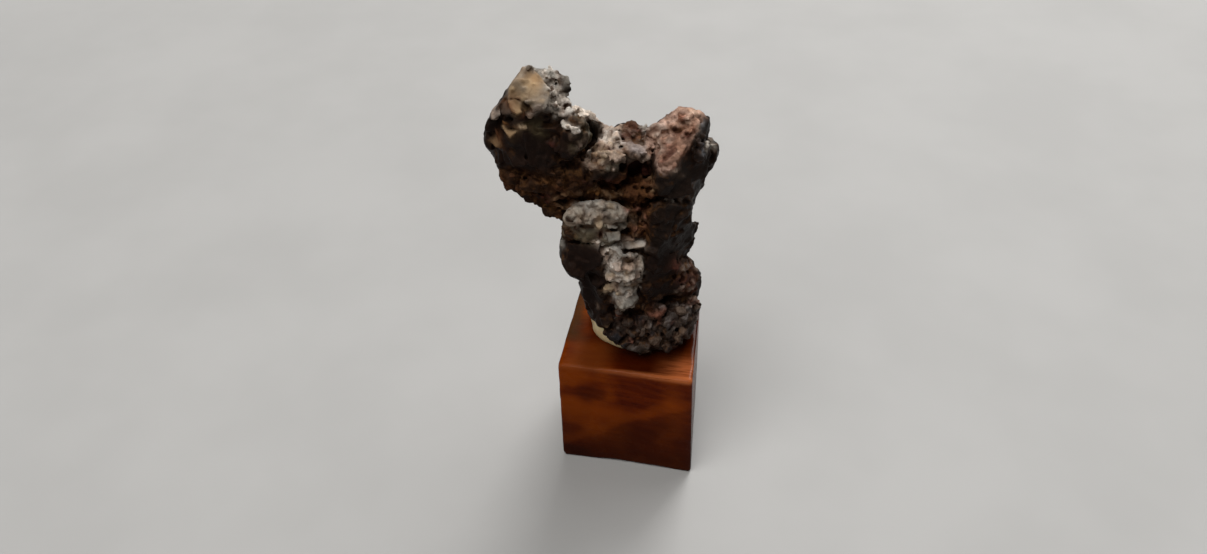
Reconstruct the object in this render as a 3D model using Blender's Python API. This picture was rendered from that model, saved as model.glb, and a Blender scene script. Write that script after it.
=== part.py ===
"""Goethite pseudomorph fixed with putty on a small varnished wood block.

Three pieces, each one closed solid:
  wood_block            hand-cut cube the specimen stands on
  mounting_putty        flattened pat of putty between block and stone
  goethite_pseudomorph  the natural intergrown stone, forked at the top

Metres, +Z up. The origin is the centre of the block's underside, with the
block's faces along X and Y. The stone is designed in its own frame, in
millimetres, and turned about Z on the block.
"""
import bpy
import bmesh
import math
from mathutils import Vector, Matrix, Euler

for ob in list(bpy.data.objects):
    bpy.data.objects.remove(ob, do_unlink=True)

MM = 0.001

# ---------------------------------------------------------------- dimensions
BLOCK_W = 25.4          # block along X, a one-inch craft cube
BLOCK_D = 23.0          # block along Y
BLOCK_H = 25.0          # block height
BLOCK_EDGE = 0.45       # eased edges of the block
GAP = 0.3               # clearance between touching pieces

STONE_TURN = math.radians(11.25)    # stone's own frame against the block's
STONE_SEAT = BLOCK_H + GAP          # lowest level of the stone

PUTTY_C = (-0.3, 3.2)   # centre of the putty pat, stone frame
PUTTY_R = 8.1           # its radius where it meets the block
PUTTY_T = 3.2           # its thickness
PUTTY_WAVE = 0.35       # how far its rim wanders in and out

VOXEL = 0.85            # grain of the fused stone
KEEP = 0.29             # share of faces kept after fusing


# ---------------------------------------------------------------- helpers
def material(name, rgb, rough, metal=0.0):
    m = bpy.data.materials.new(name)
    m.use_nodes = True
    b = m.node_tree.nodes["Principled BSDF"]
    b.inputs["Base Color"].default_value = (*rgb, 1.0)
    b.inputs["Roughness"].default_value = rough
    b.inputs["Metallic"].default_value = metal
    m.diffuse_color = (*rgb, 1.0)
    return m


def to_object(name, bm, mat=None):
    me = bpy.data.meshes.new(name)
    bmesh.ops.recalc_face_normals(bm, faces=bm.faces)
    bm.to_mesh(me)
    bm.free()
    ob = bpy.data.objects.new(name, me)
    bpy.context.scene.collection.objects.link(ob)
    if mat:
        me.materials.append(mat)
    return ob


def make_cutter(ob):
    ob.hide_render = True
    ob.display_type = 'WIRE'


def lump(bm, centre, radii, tilt=(0, 0, 0), fine=3):
    """A rounded lump: an ellipsoid, tilted in degrees about X, Y, Z."""
    rot = Euler([math.radians(a) for a in tilt], 'XYZ').to_matrix().to_4x4()
    size = Matrix.Diagonal((*[r * MM for r in radii], 1.0))
    mat = Matrix.Translation(Vector(centre) * MM) @ rot @ size
    bmesh.ops.create_icosphere(bm, subdivisions=fine, radius=1.0, matrix=mat)


def crystal(bm, corners):
    """A flat-faced crystal: the convex solid over its corner points."""
    tmp = bmesh.new()
    for c in corners:
        tmp.verts.new(Vector(c) * MM)
    out = bmesh.ops.convex_hull(tmp, input=tmp.verts)
    loose = [v for v in out["geom_interior"] if isinstance(v, bmesh.types.BMVert)]
    bmesh.ops.delete(tmp, geom=loose, context='VERTS')
    bmesh.ops.recalc_face_normals(tmp, faces=tmp.faces)
    me = bpy.data.meshes.new("tmp_crystal")
    tmp.to_mesh(me)
    tmp.free()
    bm.from_mesh(me)
    bpy.data.meshes.remove(me)


def pat(bm, centre, radius, thick, floor, grow=0.0, steps=44):
    """A flattened round pat with a full, rounded rim and a wandering outline."""
    rings = []
    prof = [(1.0, 0.0), (1.03, 0.22), (1.0, 0.5), (0.93, 0.78), (0.82, 0.94), (0.6, 1.0)]
    for fr, fz in prof:
        ring = []
        for i in range(steps):
            a = 2 * math.pi * i / steps
            wave = PUTTY_WAVE * (math.sin(3 * a + 0.6) + 0.5 * math.sin(5 * a + 2.1))
            r = radius * fr + wave * fr + grow
            z = floor + thick * fz + (grow if fz > 0 else -grow)
            ring.append(bm.verts.new(Vector((centre[0] + r * math.cos(a),
                                             centre[1] + r * math.sin(a), z)) * MM))
        rings.append(ring)
    for lo, hi in zip(rings, rings[1:]):
        for i in range(steps):
            j = (i + 1) % steps
            bm.faces.new((lo[i], lo[j], hi[j], hi[i]))
    bm.faces.new(list(reversed(rings[0])))
    bm.faces.new(rings[-1])


# ---------------------------------------------------------------- wood block
wood = material("varnished_wood", (0.20, 0.055, 0.012), 0.28)
bm = bmesh.new()
bmesh.ops.create_cube(bm, size=1.0, matrix=Matrix.Translation((0, 0, BLOCK_H * MM / 2))
                      @ Matrix.Diagonal((BLOCK_W * MM, BLOCK_D * MM, BLOCK_H * MM, 1)))
block = to_object("wood_block", bm, wood)
edge = block.modifiers.new("eased_edges", 'BEVEL')
edge.width = BLOCK_EDGE * MM
edge.segments = 2
edge.limit_method = 'ANGLE'

# ---------------------------------------------------------------- putty
putty_mat = material("cream_putty", (0.62, 0.50, 0.30), 0.65)
bm = bmesh.new()
pat(bm, PUTTY_C, PUTTY_R, PUTTY_T, STONE_SEAT)
putty = to_object("mounting_putty", bm, putty_mat)
putty.rotation_euler = (0, 0, STONE_TURN)
putty.data.shade_smooth()
putty.data.set_sharp_from_angle(angle=math.radians(50))

# ---------------------------------------------------------------- the stone
bm = bmesh.new()

# trunk
lump(bm, (1.5, 1.0, 35.5), (10, 8, 12))
lump(bm, (-0.5, 1.5, 50), (10, 7.5, 12))
lump(bm, (2, 2.0, 60), (10, 6, 8))
lump(bm, (-11, 1.0, 62.5), (11, 5.5, 5.5), tilt=(0, 25, 0))

# left fork: the head, a block of crystals that leans out to the left
crystal(bm, [(-17, 1, 82.3), (-13.8, 1.5, 81.4), (-19.6, -4.5, 80.2), (-16.2, -6.5, 79.3),
             (-13.3, -5.5, 77.9), (-22.3, -3, 76.2), (-24.2, -2.5, 70.5), (-22.7, -2.5, 65),
             (-20, -7, 73), (-15, -8, 71), (-10.8, -7, 71.5), (-11.4, -2.5, 76.6),
             (-16, 5.5, 75.0), (-22, 4, 72), (-12, 4.5, 72.5), (-16, 7, 66), (-22, 3, 65),
             (-11, 6, 66), (-17, -6, 64.5), (-11.5, -5, 63.5)])
# underside of the left fork, running down into the trunk
crystal(bm, [(-22.8, -2.5, 65.6), (-22.1, -4.0, 63.0), (-17.0, -4.6, 58.0), (-12.0, -5.6, 55.0),
             (-15, -7.5, 68), (-9, -7, 67), (-5, -3.5, 61), (-20, 4, 64), (-12, 6, 58),
             (-6, 6, 58), (-8, 6, 68)])
# lumps down the head's right shoulder
lump(bm, (-13.0, 0.3, 79.8), (1.5, 1.5, 1.4), fine=2)
lump(bm, (-12.0, 0.0, 78.2), (1.4, 1.4, 1.4), fine=2)
lump(bm, (-12.2, -2.8, 77.6), (1.4, 1.5, 1.2), fine=2)
lump(bm, (-11.4, -1.8, 75.8), (1.5, 1.6, 1.4), fine=2)
lump(bm, (-11.3, -4.9, 76.4), (1.5, 1.2, 1.1), fine=2)
# small crystals on the head's front left corner
crystal(bm, [(-19.4, -6.8, 80.0), (-17.3, -7.2, 79.8), (-17.5, -8.3, 78.7), (-18.9, -8.4, 78.2),
             (-20.5, -6.8, 78.8), (-19, -5, 77)])
crystal(bm, [(-21.3, -7.0, 76.0), (-17.8, -7.4, 75.6), (-19.7, -9.0, 74.3), (-19.8, -6, 73),
             (-19.5, -5, 76.2)])
crystal(bm, [(-23.8, -2.6, 73), (-22.4, -5.2, 74.7), (-21.5, -6.4, 71.2), (-21.2, -6.2, 69.8),
             (-23.4, -3.8, 69.8), (-24.4, -2.5, 71), (-20, -3, 72), (-22.5, 0, 68)])
# rounded crystal on the head's right
lump(bm, (-9.8, -6.0, 73.2), (2.4, 2.6, 3.0))

# bridge between head and knob
crystal(bm, [(-10.6, 0.0, 75.4), (-9.8, 1.6, 73.9), (-7.2, 1.6, 71.7), (-3.6, 1.8, 69.6),
             (-9, 4.0, 71), (-3.4, 4.5, 67), (-9, 1.2, 67), (-4, 1.2, 66), (-10, -0.4, 73.6)])

# knob in the fork
lump(bm, (-4.3, -3.5, 66.2), (4.0, 3.4, 3.0))
crystal(bm, [(-4.4, 1.2, 70.3), (-1.8, 1.2, 70.2), (-1.9, -4, 69.4), (-4.8, -4.4, 69.6),
             (-6.6, -4.3, 69.0), (-6, -3, 65.5), (-1.5, -3, 65.5), (-4, 3, 65), (-1, 3, 66)])
lump(bm, (-6.2, -6.0, 68.7), (2.1, 1.0, 0.9), fine=2)
lump(bm, (-3.2, -5.6, 68.9), (1.9, 1.1, 0.9), fine=2)
lump(bm, (-7.5, -6.6, 67.3), (1.5, 1.0, 1.0), fine=2)
lump(bm, (-3.9, -6.2, 67.0), (2.3, 1.2, 1.5), fine=2)
# second lump beside it
crystal(bm, [(-1.7, 1, 70.7), (-0.1, 2, 71.0), (2.2, 2, 70.3), (3.4, -1, 69.7), (2.2, -5.8, 69.0),
             (-1.6, -5.2, 69.3), (0, -6.3, 68.9), (-1, -3, 65.5), (3, -3, 66), (0, 3, 65)])

# right fork: one large crystal, broad flat top and a steep right side
crystal(bm, [(9.3, 0.5, 73.8), (12.1, -0.5, 72.6), (7.4, 1, 73.3), (5.1, 0, 72.1), (2.8, -1.5, 69.6),
             (10.9, -4, 69.3), (7.7, -7, 70.2), (6.0, -8, 68.0), (4, -8, 66.2), (3.2, -5, 67),
             (10.6, -1, 55), (5.4, -7.6, 61.5), (9.6, -4.6, 60.5), (12.4, 0, 59.6),
             (11.6, 5, 67.0), (6, 6, 67.5), (3, 6, 64), (11.5, 6, 57), (3, 6, 56), (2.5, -6, 61)])
# spur behind it on the far right
crystal(bm, [(13.7, 1, 66.2), (14.4, 0.5, 63.4), (11.8, -1.6, 66.6), (12.4, 0, 59.8), (12.0, 3, 65),
             (13.2, 3, 61), (11, 4, 59), (10.5, -3, 63)])

# right flank below the ledge
crystal(bm, [(5.2, -8.2, 60.8), (10, -5, 58), (10.7, -1, 54.8), (11.2, -1, 50.5), (10.6, -2, 46.5),
             (9.0, -2, 43.6), (4, -8.6, 50), (3, -7.6, 44), (10, 6, 57), (9, 6, 44), (2, 7, 50),
             (2, -7, 58)])
for c, r in (((10.7, -0.5, 50.0), (1.2, 1.3, 1.3)),
             ((10.0, -1.2, 47.2), (1.3, 1.5, 1.2)),
             ((9.2, -1.5, 45.2), (1.2, 1.5, 1.0))):
    lump(bm, c, r, fine=2)
crystal(bm, [(8.3, -4.5, 45.8), (9.6, -2, 43.6), (12.4, 0, 40), (12.6, -0.5, 37), (12.0, -1, 33.5),
             (1.5, -8, 46.5), (2, -8.2, 41), (10, -4.6, 39), (11, 6, 42), (10, 7, 32), (3, 6, 46),
             (2, -5, 33)])

# crumbly foot
lump(bm, (3.2, -0.3, 31.8), (8.8, 7.6, 6.8))
lump(bm, (8.4, -2.6, 31.4), (3.3, 3.2, 4.6))
lump(bm, (2.8, -4.6, 29.4), (5.2, 3.2, 4.4))
lump(bm, (-3.6, -4.6, 32.2), (3.6, 3.6, 4.4))

# left flank: two flat dark slabs
crystal(bm, [(-13.2, -3.5, 49), (-12.3, -6, 51.5), (-12.3, -3, 43.6), (-10.4, -3, 41.3),
             (-5.3, -8.6, 52), (-6, -8.6, 46), (-7, -6.5, 41), (-9, 4, 50), (-11, 3, 44),
             (-3, 0, 40), (-3, 4, 52), (-12, 0, 54)])
crystal(bm, [(-10.2, -2.5, 41), (-9.8, -2, 37), (-8.4, -4, 32), (-6, -8, 40), (-5.5, -8, 46),
             (-5, -7.6, 33), (-8, 4, 38), (-6, 4, 30), (0, 0, 40)])

# rounded ball on the front, and the column of pale crystals below it
lump(bm, (-6.9, -6.6, 56.3), (5.4, 3.5, 3.6))
lump(bm, (-10.4, -5.4, 54.2), (2.3, 2.2, 1.8), fine=2)
crystal(bm, [(-5.9, -8.2, 52.9), (-2, -8.2, 52.9), (-4.4, -9.6, 51.0), (-1.6, -9.6, 50.8),
             (-5.6, -8.2, 49), (-1, -6, 50), (-4, -5, 53)])
crystal(bm, [(-1.4, -7.6, 53.0), (1.8, -6.8, 52.4), (-1.0, -8.6, 51.2), (1, -6, 50.2), (-2, -5, 51)])
crystal(bm, [(-5.2, -9, 50.2), (0.8, -8.6, 49.4), (1.2, -8.2, 47.6), (-3.6, -10.6, 48.0),
             (-1.2, -10.7, 47.6), (-4.8, -8.8, 45.6), (0.8, -8.2, 44.6), (-2, -10, 45.5),
             (-2, -5, 48), (0.6, -5, 46)])
crystal(bm, [(-4.9, -8.8, 44.4), (-4.6, -9, 42.0), (0.6, -8.2, 45.0), (0.4, -8.0, 41.5),
             (-0.6, -8.8, 39.0), (-2.8, -9.4, 38.4), (-2.4, -10.2, 43.2), (-2.6, -10.0, 45.4),
             (-2, -4, 42), (-4, -6, 40)])

# far side
lump(bm, (-17, 4.5, 70), (4.5, 3.2, 5.0), tilt=(0, 10, 0))
crystal(bm, [(-8, 6, 66), (-2, 7.5, 66.5), (-1, 9, 61), (-7, 9.5, 60), (-10, 6, 60), (-4, 9, 56),
             (-8, 4, 58), (0, 4, 62), (-4, 4, 67)])
crystal(bm, [(1, 6, 66), (8, 7, 66.5), (10, 9, 60), (3, 10, 58.5), (0, 7, 57), (8, 8, 54),
             (4, 3, 60), (9, 3, 62), (3, 3, 67)])
lump(bm, (-2, 7, 50), (7, 4.0, 7))
crystal(bm, [(-9, 5, 52), (-4, 9.5, 52.5), (-3, 10.5, 46), (-8, 8, 43), (-11, 4, 46), (-5, 8, 41),
             (-6, 3, 48), (-8, 2, 40)])
crystal(bm, [(2, 8, 53), (8, 7.5, 53), (10, 7.5, 47), (5, 10.5, 46), (1, 9.5, 45), (7, 9, 41.5),
             (3, 4, 46), (9, 4, 42)])
lump(bm, (1, 5.5, 37), (8, 5, 7))
lump(bm, (3, 4.5, 30.5), (8, 5.5, 6))

stone_mat = material("goethite", (0.10, 0.06, 0.045), 0.6)
stone = to_object("goethite_pseudomorph", bm, stone_mat)
stone.rotation_euler = (0, 0, STONE_TURN)

# hollows: the pit under the bridge, the cleft under the second lump and the
# slot low on the right flank
bm = bmesh.new()
lump(bm, (-6.9, -1.5, 69.5), (1.5, 3.5, 3.4))
lump(bm, (0.7, -5.5, 64.8), (2.6, 3.0, 2.4))
lump(bm, (6.2, -6.6, 38.2), (4.4, 2.6, 1.4), tilt=(0, 5, -8))
hollows = to_object("hollows_cutter", bm)
hollows.rotation_euler = (0, 0, STONE_TURN)
make_cutter(hollows)

# seat: everything below the stone's lowest level, and the bed that the putty fills
bm = bmesh.new()
bmesh.ops.create_cube(bm, size=1.0, matrix=Matrix.Translation((0, 0, (STONE_SEAT - 20) * MM))
                      @ Matrix.Diagonal((0.08, 0.08, 0.04, 1)))
seat = to_object("seat_cutter", bm)
make_cutter(seat)
bm = bmesh.new()
pat(bm, PUTTY_C, PUTTY_R, PUTTY_T, STONE_SEAT, grow=GAP)
bed = to_object("putty_bed_cutter", bm)
bed.rotation_euler = (0, 0, STONE_TURN)
make_cutter(bed)

fuse = stone.modifiers.new("grow_together", 'REMESH')
fuse.mode = 'VOXEL'
fuse.voxel_size = VOXEL * MM
fuse.use_smooth_shade = True
hol = stone.modifiers.new("hollows", 'BOOLEAN')
hol.operation = 'DIFFERENCE'
hol.object = hollows
thin = stone.modifiers.new("lighten", 'DECIMATE')
thin.ratio = KEEP
cut = stone.modifiers.new("seat", 'BOOLEAN')
cut.operation = 'DIFFERENCE'
cut.object = seat
dip = stone.modifiers.new("putty_bed", 'BOOLEAN')
dip.operation = 'DIFFERENCE'
dip.object = bed
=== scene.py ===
import math
import bpy
import bmesh
import numpy as np
from mathutils import Matrix, Vector


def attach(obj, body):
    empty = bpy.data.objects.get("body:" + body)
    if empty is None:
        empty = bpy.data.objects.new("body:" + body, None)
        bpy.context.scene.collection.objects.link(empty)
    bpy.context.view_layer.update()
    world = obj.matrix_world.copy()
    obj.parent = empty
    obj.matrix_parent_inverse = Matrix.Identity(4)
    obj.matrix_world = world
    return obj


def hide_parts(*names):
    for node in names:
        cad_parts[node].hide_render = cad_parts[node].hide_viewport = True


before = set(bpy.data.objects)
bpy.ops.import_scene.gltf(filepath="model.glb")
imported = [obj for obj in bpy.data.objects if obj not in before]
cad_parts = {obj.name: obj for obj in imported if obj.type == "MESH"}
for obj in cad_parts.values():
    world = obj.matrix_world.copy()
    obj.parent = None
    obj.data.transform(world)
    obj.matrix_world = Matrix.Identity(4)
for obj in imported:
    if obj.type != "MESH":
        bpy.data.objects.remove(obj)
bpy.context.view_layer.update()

MM = 0.001
TURN = math.radians(11.25)          # the stone's own frame against the block's
BLOCK = (25.4, 23.0, 25.0)          # mm
GAP = 0.3
SEAT = BLOCK[2] + GAP
PUTTY_C, PUTTY_R, PUTTY_T = (-0.3, 3.2), 8.1, 3.2

# =====================================================================
# noise, all seeded
# =====================================================================
def _hash(ix, iy, iz, seed):
    """Integer lattice point to a number in 0..1, the same every run."""
    h = (ix.astype(np.uint32) * np.uint32(374761393) + iy.astype(np.uint32) * np.uint32(668265263)
         + iz.astype(np.uint32) * np.uint32(2147483647) + np.uint32((seed * 974634777) & 0xFFFFFFFF))
    h = (h ^ (h >> np.uint32(13))) * np.uint32(1274126177)
    h = (h ^ (h >> np.uint32(16))) * np.uint32(2246822519)
    h = h ^ (h >> np.uint32(15))
    return h.astype(np.float32) / np.float32(4294967295.0)


def noise(P, wave, seed=0):
    """Smooth value noise, -1..1, features about wave across."""
    q = P / wave
    i = np.floor(q).astype(np.int64)
    f = (q - i).astype(np.float32)
    u = f * f * f * (f * (f * 6 - 15) + 10)
    out = np.zeros(P.shape[:-1], np.float32)
    for dx in (0, 1):
        wx = u[..., 0] if dx else 1 - u[..., 0]
        for dy in (0, 1):
            wy = u[..., 1] if dy else 1 - u[..., 1]
            for dz in (0, 1):
                wz = u[..., 2] if dz else 1 - u[..., 2]
                out += wx * wy * wz * _hash(i[..., 0] + dx, i[..., 1] + dy, i[..., 2] + dz, seed)
    return out * 2 - 1


def fbm(P, wave, octaves=3, seed=0, gain=0.5):
    out, amp, tot = 0, 1.0, 0.0
    for o in range(octaves):
        out = out + amp * noise(P, wave / 2 ** o, seed + 17 * o)
        tot += amp
        amp *= gain
    return out / tot


def cells(P, wave, seed=0, jitter=0.9):
    """Nearest and second nearest scattered point: distances, and a random number for the cell."""
    q = P / wave
    i = np.floor(q).astype(np.int64)
    d1 = np.full(P.shape[:-1], 9.0, np.float32)
    d2 = d1.copy()
    cid = np.zeros(P.shape[:-1], np.float32)
    off = np.zeros(P.shape, np.float32)
    for dx in (-1, 0, 1):
        for dy in (-1, 0, 1):
            for dz in (-1, 0, 1):
                c = (i[..., 0] + dx, i[..., 1] + dy, i[..., 2] + dz)
                pt = np.stack([c[k] + 0.5 + jitter * (_hash(*c, seed + k) - 0.5) for k in range(3)], -1)
                v = (q - pt).astype(np.float32)
                d = np.sqrt((v * v).sum(-1))
                m = d < d1
                d2 = np.where(m, d1, np.minimum(d2, d))
                d1 = np.where(m, d, d1)
                cid = np.where(m, _hash(*c, seed + 7), cid)
                off = np.where(m[..., None], v, off)
    return d1, d2, cid, off


def facets(P, wave, seed=0):
    """Height of small flat faces, one random tilt for each cell: broken, crystalline relief."""
    d1, d2, cid, off = cells(P, wave, seed)
    a = cid * 6.2832 * 7
    b = (cid * 977.0) % 1.0 * 2 - 1
    s = np.sqrt(np.clip(1 - b * b, 0, 1))
    n = np.stack([s * np.cos(a), s * np.sin(a), b], -1)
    return (n * off).sum(-1) * wave, d2 - d1, cid


# =====================================================================
# the stone as a signed distance field, mm, in its own frame
# =====================================================================
DARK, TAN, LGRAY, PINK, BALL, OCHRE, CRUST, RED, GBROWN, SLATE = range(10)
NZ = 10

# the stone's colours, linear RGB
PALETTE = {
    'dark': (0.016, 0.0085, 0.006), 'black': (0.006, 0.004, 0.003), 'maroon': (0.060, 0.019, 0.013),
    'brown': (0.095, 0.042, 0.020), 'ochre': (0.150, 0.068, 0.022), 'orange': (0.210, 0.095, 0.030),
    'tan': (0.290, 0.205, 0.120), 'tangrey': (0.245, 0.195, 0.145), 'beige': (0.370, 0.290, 0.200),
    'greypink': (0.280, 0.230, 0.195), 'grey': (0.230, 0.215, 0.190), 'white': (0.340, 0.320, 0.290),
    'pinkwhite': (0.480, 0.390, 0.330), 'pink': (0.400, 0.270, 0.215), 'pinkred': (0.250, 0.115, 0.080),
    'gbrown': (0.110, 0.080, 0.062), 'lilac': (0.250, 0.215, 0.205), 'olive': (0.055, 0.042, 0.022),
    'olivegrey': (0.185, 0.170, 0.130), 'ball': (0.390, 0.350, 0.295), 'slate': (0.019, 0.012, 0.009),
    'bluegrey': (0.120, 0.125, 0.135), 'crust': (0.055, 0.045, 0.040), 'blueblack': (0.020, 0.020, 0.024),
    'redcrust': (0.125, 0.055, 0.038), 'tanbrown': (0.200, 0.130, 0.078), 'red': (0.090, 0.036, 0.025),
    'umber': (0.036, 0.018, 0.010), 'snow': (0.600, 0.560, 0.510), 'pinkbeige': (0.340, 0.265, 0.215),
    'glint': (0.190, 0.170, 0.165), 'tandark': (0.160, 0.105, 0.058), 'pinkmid': (0.255, 0.150, 0.108),
    'rust': (0.110, 0.050, 0.018), 'ashen': (0.165, 0.145, 0.125), 'tanlit': (0.350, 0.245, 0.140),
}
TINT = {n: i for i, n in enumerate(PALETTE)}
ZONE_TINT = ['dark', 'tan', 'white', 'pink', 'ball', 'ochre', 'crust', 'red', 'gbrown', 'slate']

# where the specimen is looked at from when surface features are set out:
# 1050 view units is one radian, and the view is 1207 by 554 of them
EYE = np.array((-5.577, -149.322, 161.747))
_p, _r = math.radians(39.5), math.radians(-1.6595)
AHEAD = np.array((0, math.cos(_p), -math.sin(_p)))
_side, _top = np.array((1.0, 0, 0)), np.array((0, math.sin(_p), math.cos(_p)))
SIDE = _side * math.cos(_r) + _top * math.sin(_r)
OVER = _top * math.cos(_r) - _side * math.sin(_r)


def ray(u, v):
    return AHEAD + SIDE * (u - 603.5) / 1050 - OVER * (v - 277) / 1050


def within(poly, x, y):
    """Which points lie inside an outline."""
    res = np.zeros(np.shape(x), bool)
    for a, b in zip(poly, np.roll(poly, -1, 0)):
        if a[1] != b[1]:
            cut = a[0] + (y - a[1]) / (b[1] - a[1]) * (b[0] - a[0])
            res ^= ((a[1] > y) != (b[1] > y)) & (x < cut)
    return res


def rot_m(rot):
    rx, ry, rz = np.radians(rot)
    cx, sx, cy, sy, cz, sz = np.cos(rx), np.sin(rx), np.cos(ry), np.sin(ry), np.cos(rz), np.sin(rz)
    X = np.array([[1, 0, 0], [0, cx, -sx], [0, sx, cx]])
    Y = np.array([[cy, 0, sy], [0, 1, 0], [-sy, 0, cy]])
    Z = np.array([[cz, -sz, 0], [sz, cz, 0], [0, 0, 1]])
    return Z @ Y @ X


def hull_planes(pts):
    """Face planes of the convex solid over a few corner points, by trying each triple."""
    p = np.array(pts, float)
    n = len(p)
    tri = np.array([(i, j, k) for i in range(n) for j in range(i + 1, n) for k in range(j + 1, n)])
    a, b, c = p[tri[:, 0]], p[tri[:, 1]], p[tri[:, 2]]
    m = np.cross(b - a, c - a)
    L = np.linalg.norm(m, axis=1)
    ok = L > 1e-9
    m, a = m[ok] / L[ok][:, None], a[ok]
    o = (m * a).sum(1)
    s = m @ p.T - o[:, None]
    up, dn = (s <= 1e-6).all(1), (s >= -1e-6).all(1)
    N = np.concatenate([m[up], -m[dn]])
    O = np.concatenate([o[up], -o[dn]])
    key = np.round(np.c_[N, O], 4)
    _, first = np.unique(key, axis=0, return_index=True)
    return N[first], O[first]


class Field:
    def __init__(s, lo, hi, h):
        s.lo, s.h = np.array(lo, np.float32), h
        s.n = np.ceil((np.array(hi) - s.lo) / h).astype(int) + 1
        s.F = np.full(s.n, 6.0, np.float32)
        s.Z = np.zeros(s.n, np.int8)
        s.T = np.zeros(s.n, np.int8)
        ax = [(s.lo[i] + h * np.arange(s.n[i])).astype(np.float32) for i in range(3)]
        s.P = np.stack(np.meshgrid(*ax, indexing='ij'), -1)
        s.warp()

    def lattice(s, wave, seed):
        """Smooth noise over the whole grid, from a small random lattice."""
        rng = np.random.default_rng(seed)
        m = [int(math.ceil(s.n[i] * s.h / wave)) + 4 for i in range(3)]
        A = rng.uniform(-1, 1, m).astype(np.float32)
        for ax in range(3):
            x = np.arange(s.n[ax]) * s.h / wave
            i = np.floor(x).astype(int)
            f = (x - i).astype(np.float32)
            w = [(1 - f) ** 3 / 6, (3 * f ** 3 - 6 * f ** 2 + 4) / 6,
                 (-3 * f ** 3 + 3 * f ** 2 + 3 * f + 1) / 6, f ** 3 / 6]
            sh = [1, 1, 1]; sh[ax] = -1
            A = sum(w[k].reshape(sh) * np.take(A, i + k, axis=ax) for k in range(4))
        return A * 1.6

    def warp(s):
        """Bends space a little, so that no face is perfectly flat or straight."""
        for k in range(3):
            s.P[..., k] += 0.42 * s.lattice(5.5, 11 + k) + 0.20 * s.lattice(2.3, 21 + k) + 0.07 * s.lattice(1.0, 31 + k)

    def win(s, a, b):
        i0 = np.maximum(np.floor((np.array(a) - s.lo) / s.h).astype(int), 0)
        i1 = np.minimum(np.ceil((np.array(b) - s.lo) / s.h).astype(int) + 1, s.n)
        i1 = np.maximum(i1, i0 + 1)
        sl = tuple(slice(int(x), int(y)) for x, y in zip(i0, i1))
        return sl, s.P[sl]

    def put(s, sl, d, zone, k, op, tint=None):
        a = s.F[sl]
        if op == '+':
            m = d < a
            r = np.minimum(a, d)
            if k > 0:
                h = np.maximum(k - np.abs(a - d), 0) / k
                r = r - h * h * k / 4
        else:
            d = -d
            m = (d > a - 0.15) & (a < 1.0)
            r = np.maximum(a, d)
            if k > 0:
                h = np.maximum(k - np.abs(a - d), 0) / k
                r = r + h * h * k / 4
        s.F[sl] = r
        if zone is not None:
            s.Z[sl][m] = zone
        if tint is None and zone is not None:
            tint = ZONE_TINT[zone]
        if tint is not None:
            s.T[sl][m] = TINT[tint]

    def ell(s, c, r, rot=(0, 0, 0), zone=DARK, k=0.8, op='+', tint=None, M=None):
        c, r = np.array(c, np.float32), np.array(r, np.float32)
        sl, P = s.win(c - r.max() - 3, c + r.max() + 3)
        q = (P - c) @ (rot_m(rot) if M is None else M).astype(np.float32)
        a = q / r
        k0 = np.sqrt((a * a).sum(-1))
        b = a / r
        k1 = np.sqrt((b * b).sum(-1)) + 1e-6
        d = k0 * (k0 - 1) / k1
        d = np.where(k0 < 0.3, -0.8 * r.min(), d)
        s.put(sl, d, zone, k, op, tint)

    def gem(s, pts, zone=DARK, k=0.3, op='+', rnd=0.15, tint=None):
        N, O = hull_planes(pts)
        pts = np.array(pts, float)
        sl, P = s.win(pts.min(0) - 3, pts.max(0) + 3)
        d = None
        for n, o in zip(N, O):
            t = P @ n.astype(np.float32) - np.float32(o)
            if d is None:
                d = t
            elif rnd > 0:
                h = np.maximum(rnd - np.abs(d - t), 0) / rnd
                d = np.maximum(d, t) + h * h * rnd / 4
            else:
                d = np.maximum(d, t)
        s.put(sl, d, zone, k, op, tint)

    def block(s, c, half, M, zone=DARK, k=0.2, op='+', cut=0.3, tint=None):
        """A small crystal: a turned box with its eight corners cut."""
        c, half = np.array(c, np.float32), np.array(half, np.float32)
        m = float(np.linalg.norm(half)) + 2
        sl, P = s.win(c - m, c + m)
        q = np.abs((P - c) @ M.astype(np.float32))
        t = q - half
        d = np.maximum(np.maximum(t[..., 0], t[..., 1]), t[..., 2])
        d = np.maximum(d, (q.sum(-1) - (half.sum() - cut * 2 * half.min())) / 1.732)
        s.put(sl, d, zone, k, op, tint)

    # ---- features set out one by one: (u, v) is a direction of view, and each lands on the surface seen there
    def hit(s, u, v):
        r = ray(u, v)
        t = np.arange(125.0, 232.0, 0.12)
        P = EYE + t[:, None] * r
        ok = ((P > s.lo + s.h) & (P < s.lo + s.h * (s.n - 2))).all(1)
        F = np.full(len(t), 6.0)
        F[ok] = sample(s.F, s.lo, s.h, P[ok])
        i = int(np.argmax(F < 0))
        if F[i] >= 0:
            return t[int(np.argmin(F))]
        a, b = F[i - 1], F[i]
        return t[i - 1] + 0.12 * a / (a - b)

    def bent(s, x):
        """A point in space, as the bent coordinates that the shapes are written in."""
        x = np.atleast_2d(np.asarray(x, float))
        return np.stack([sample(s.P[..., k], s.lo, s.h, x) for k in range(3)], 1)

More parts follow.
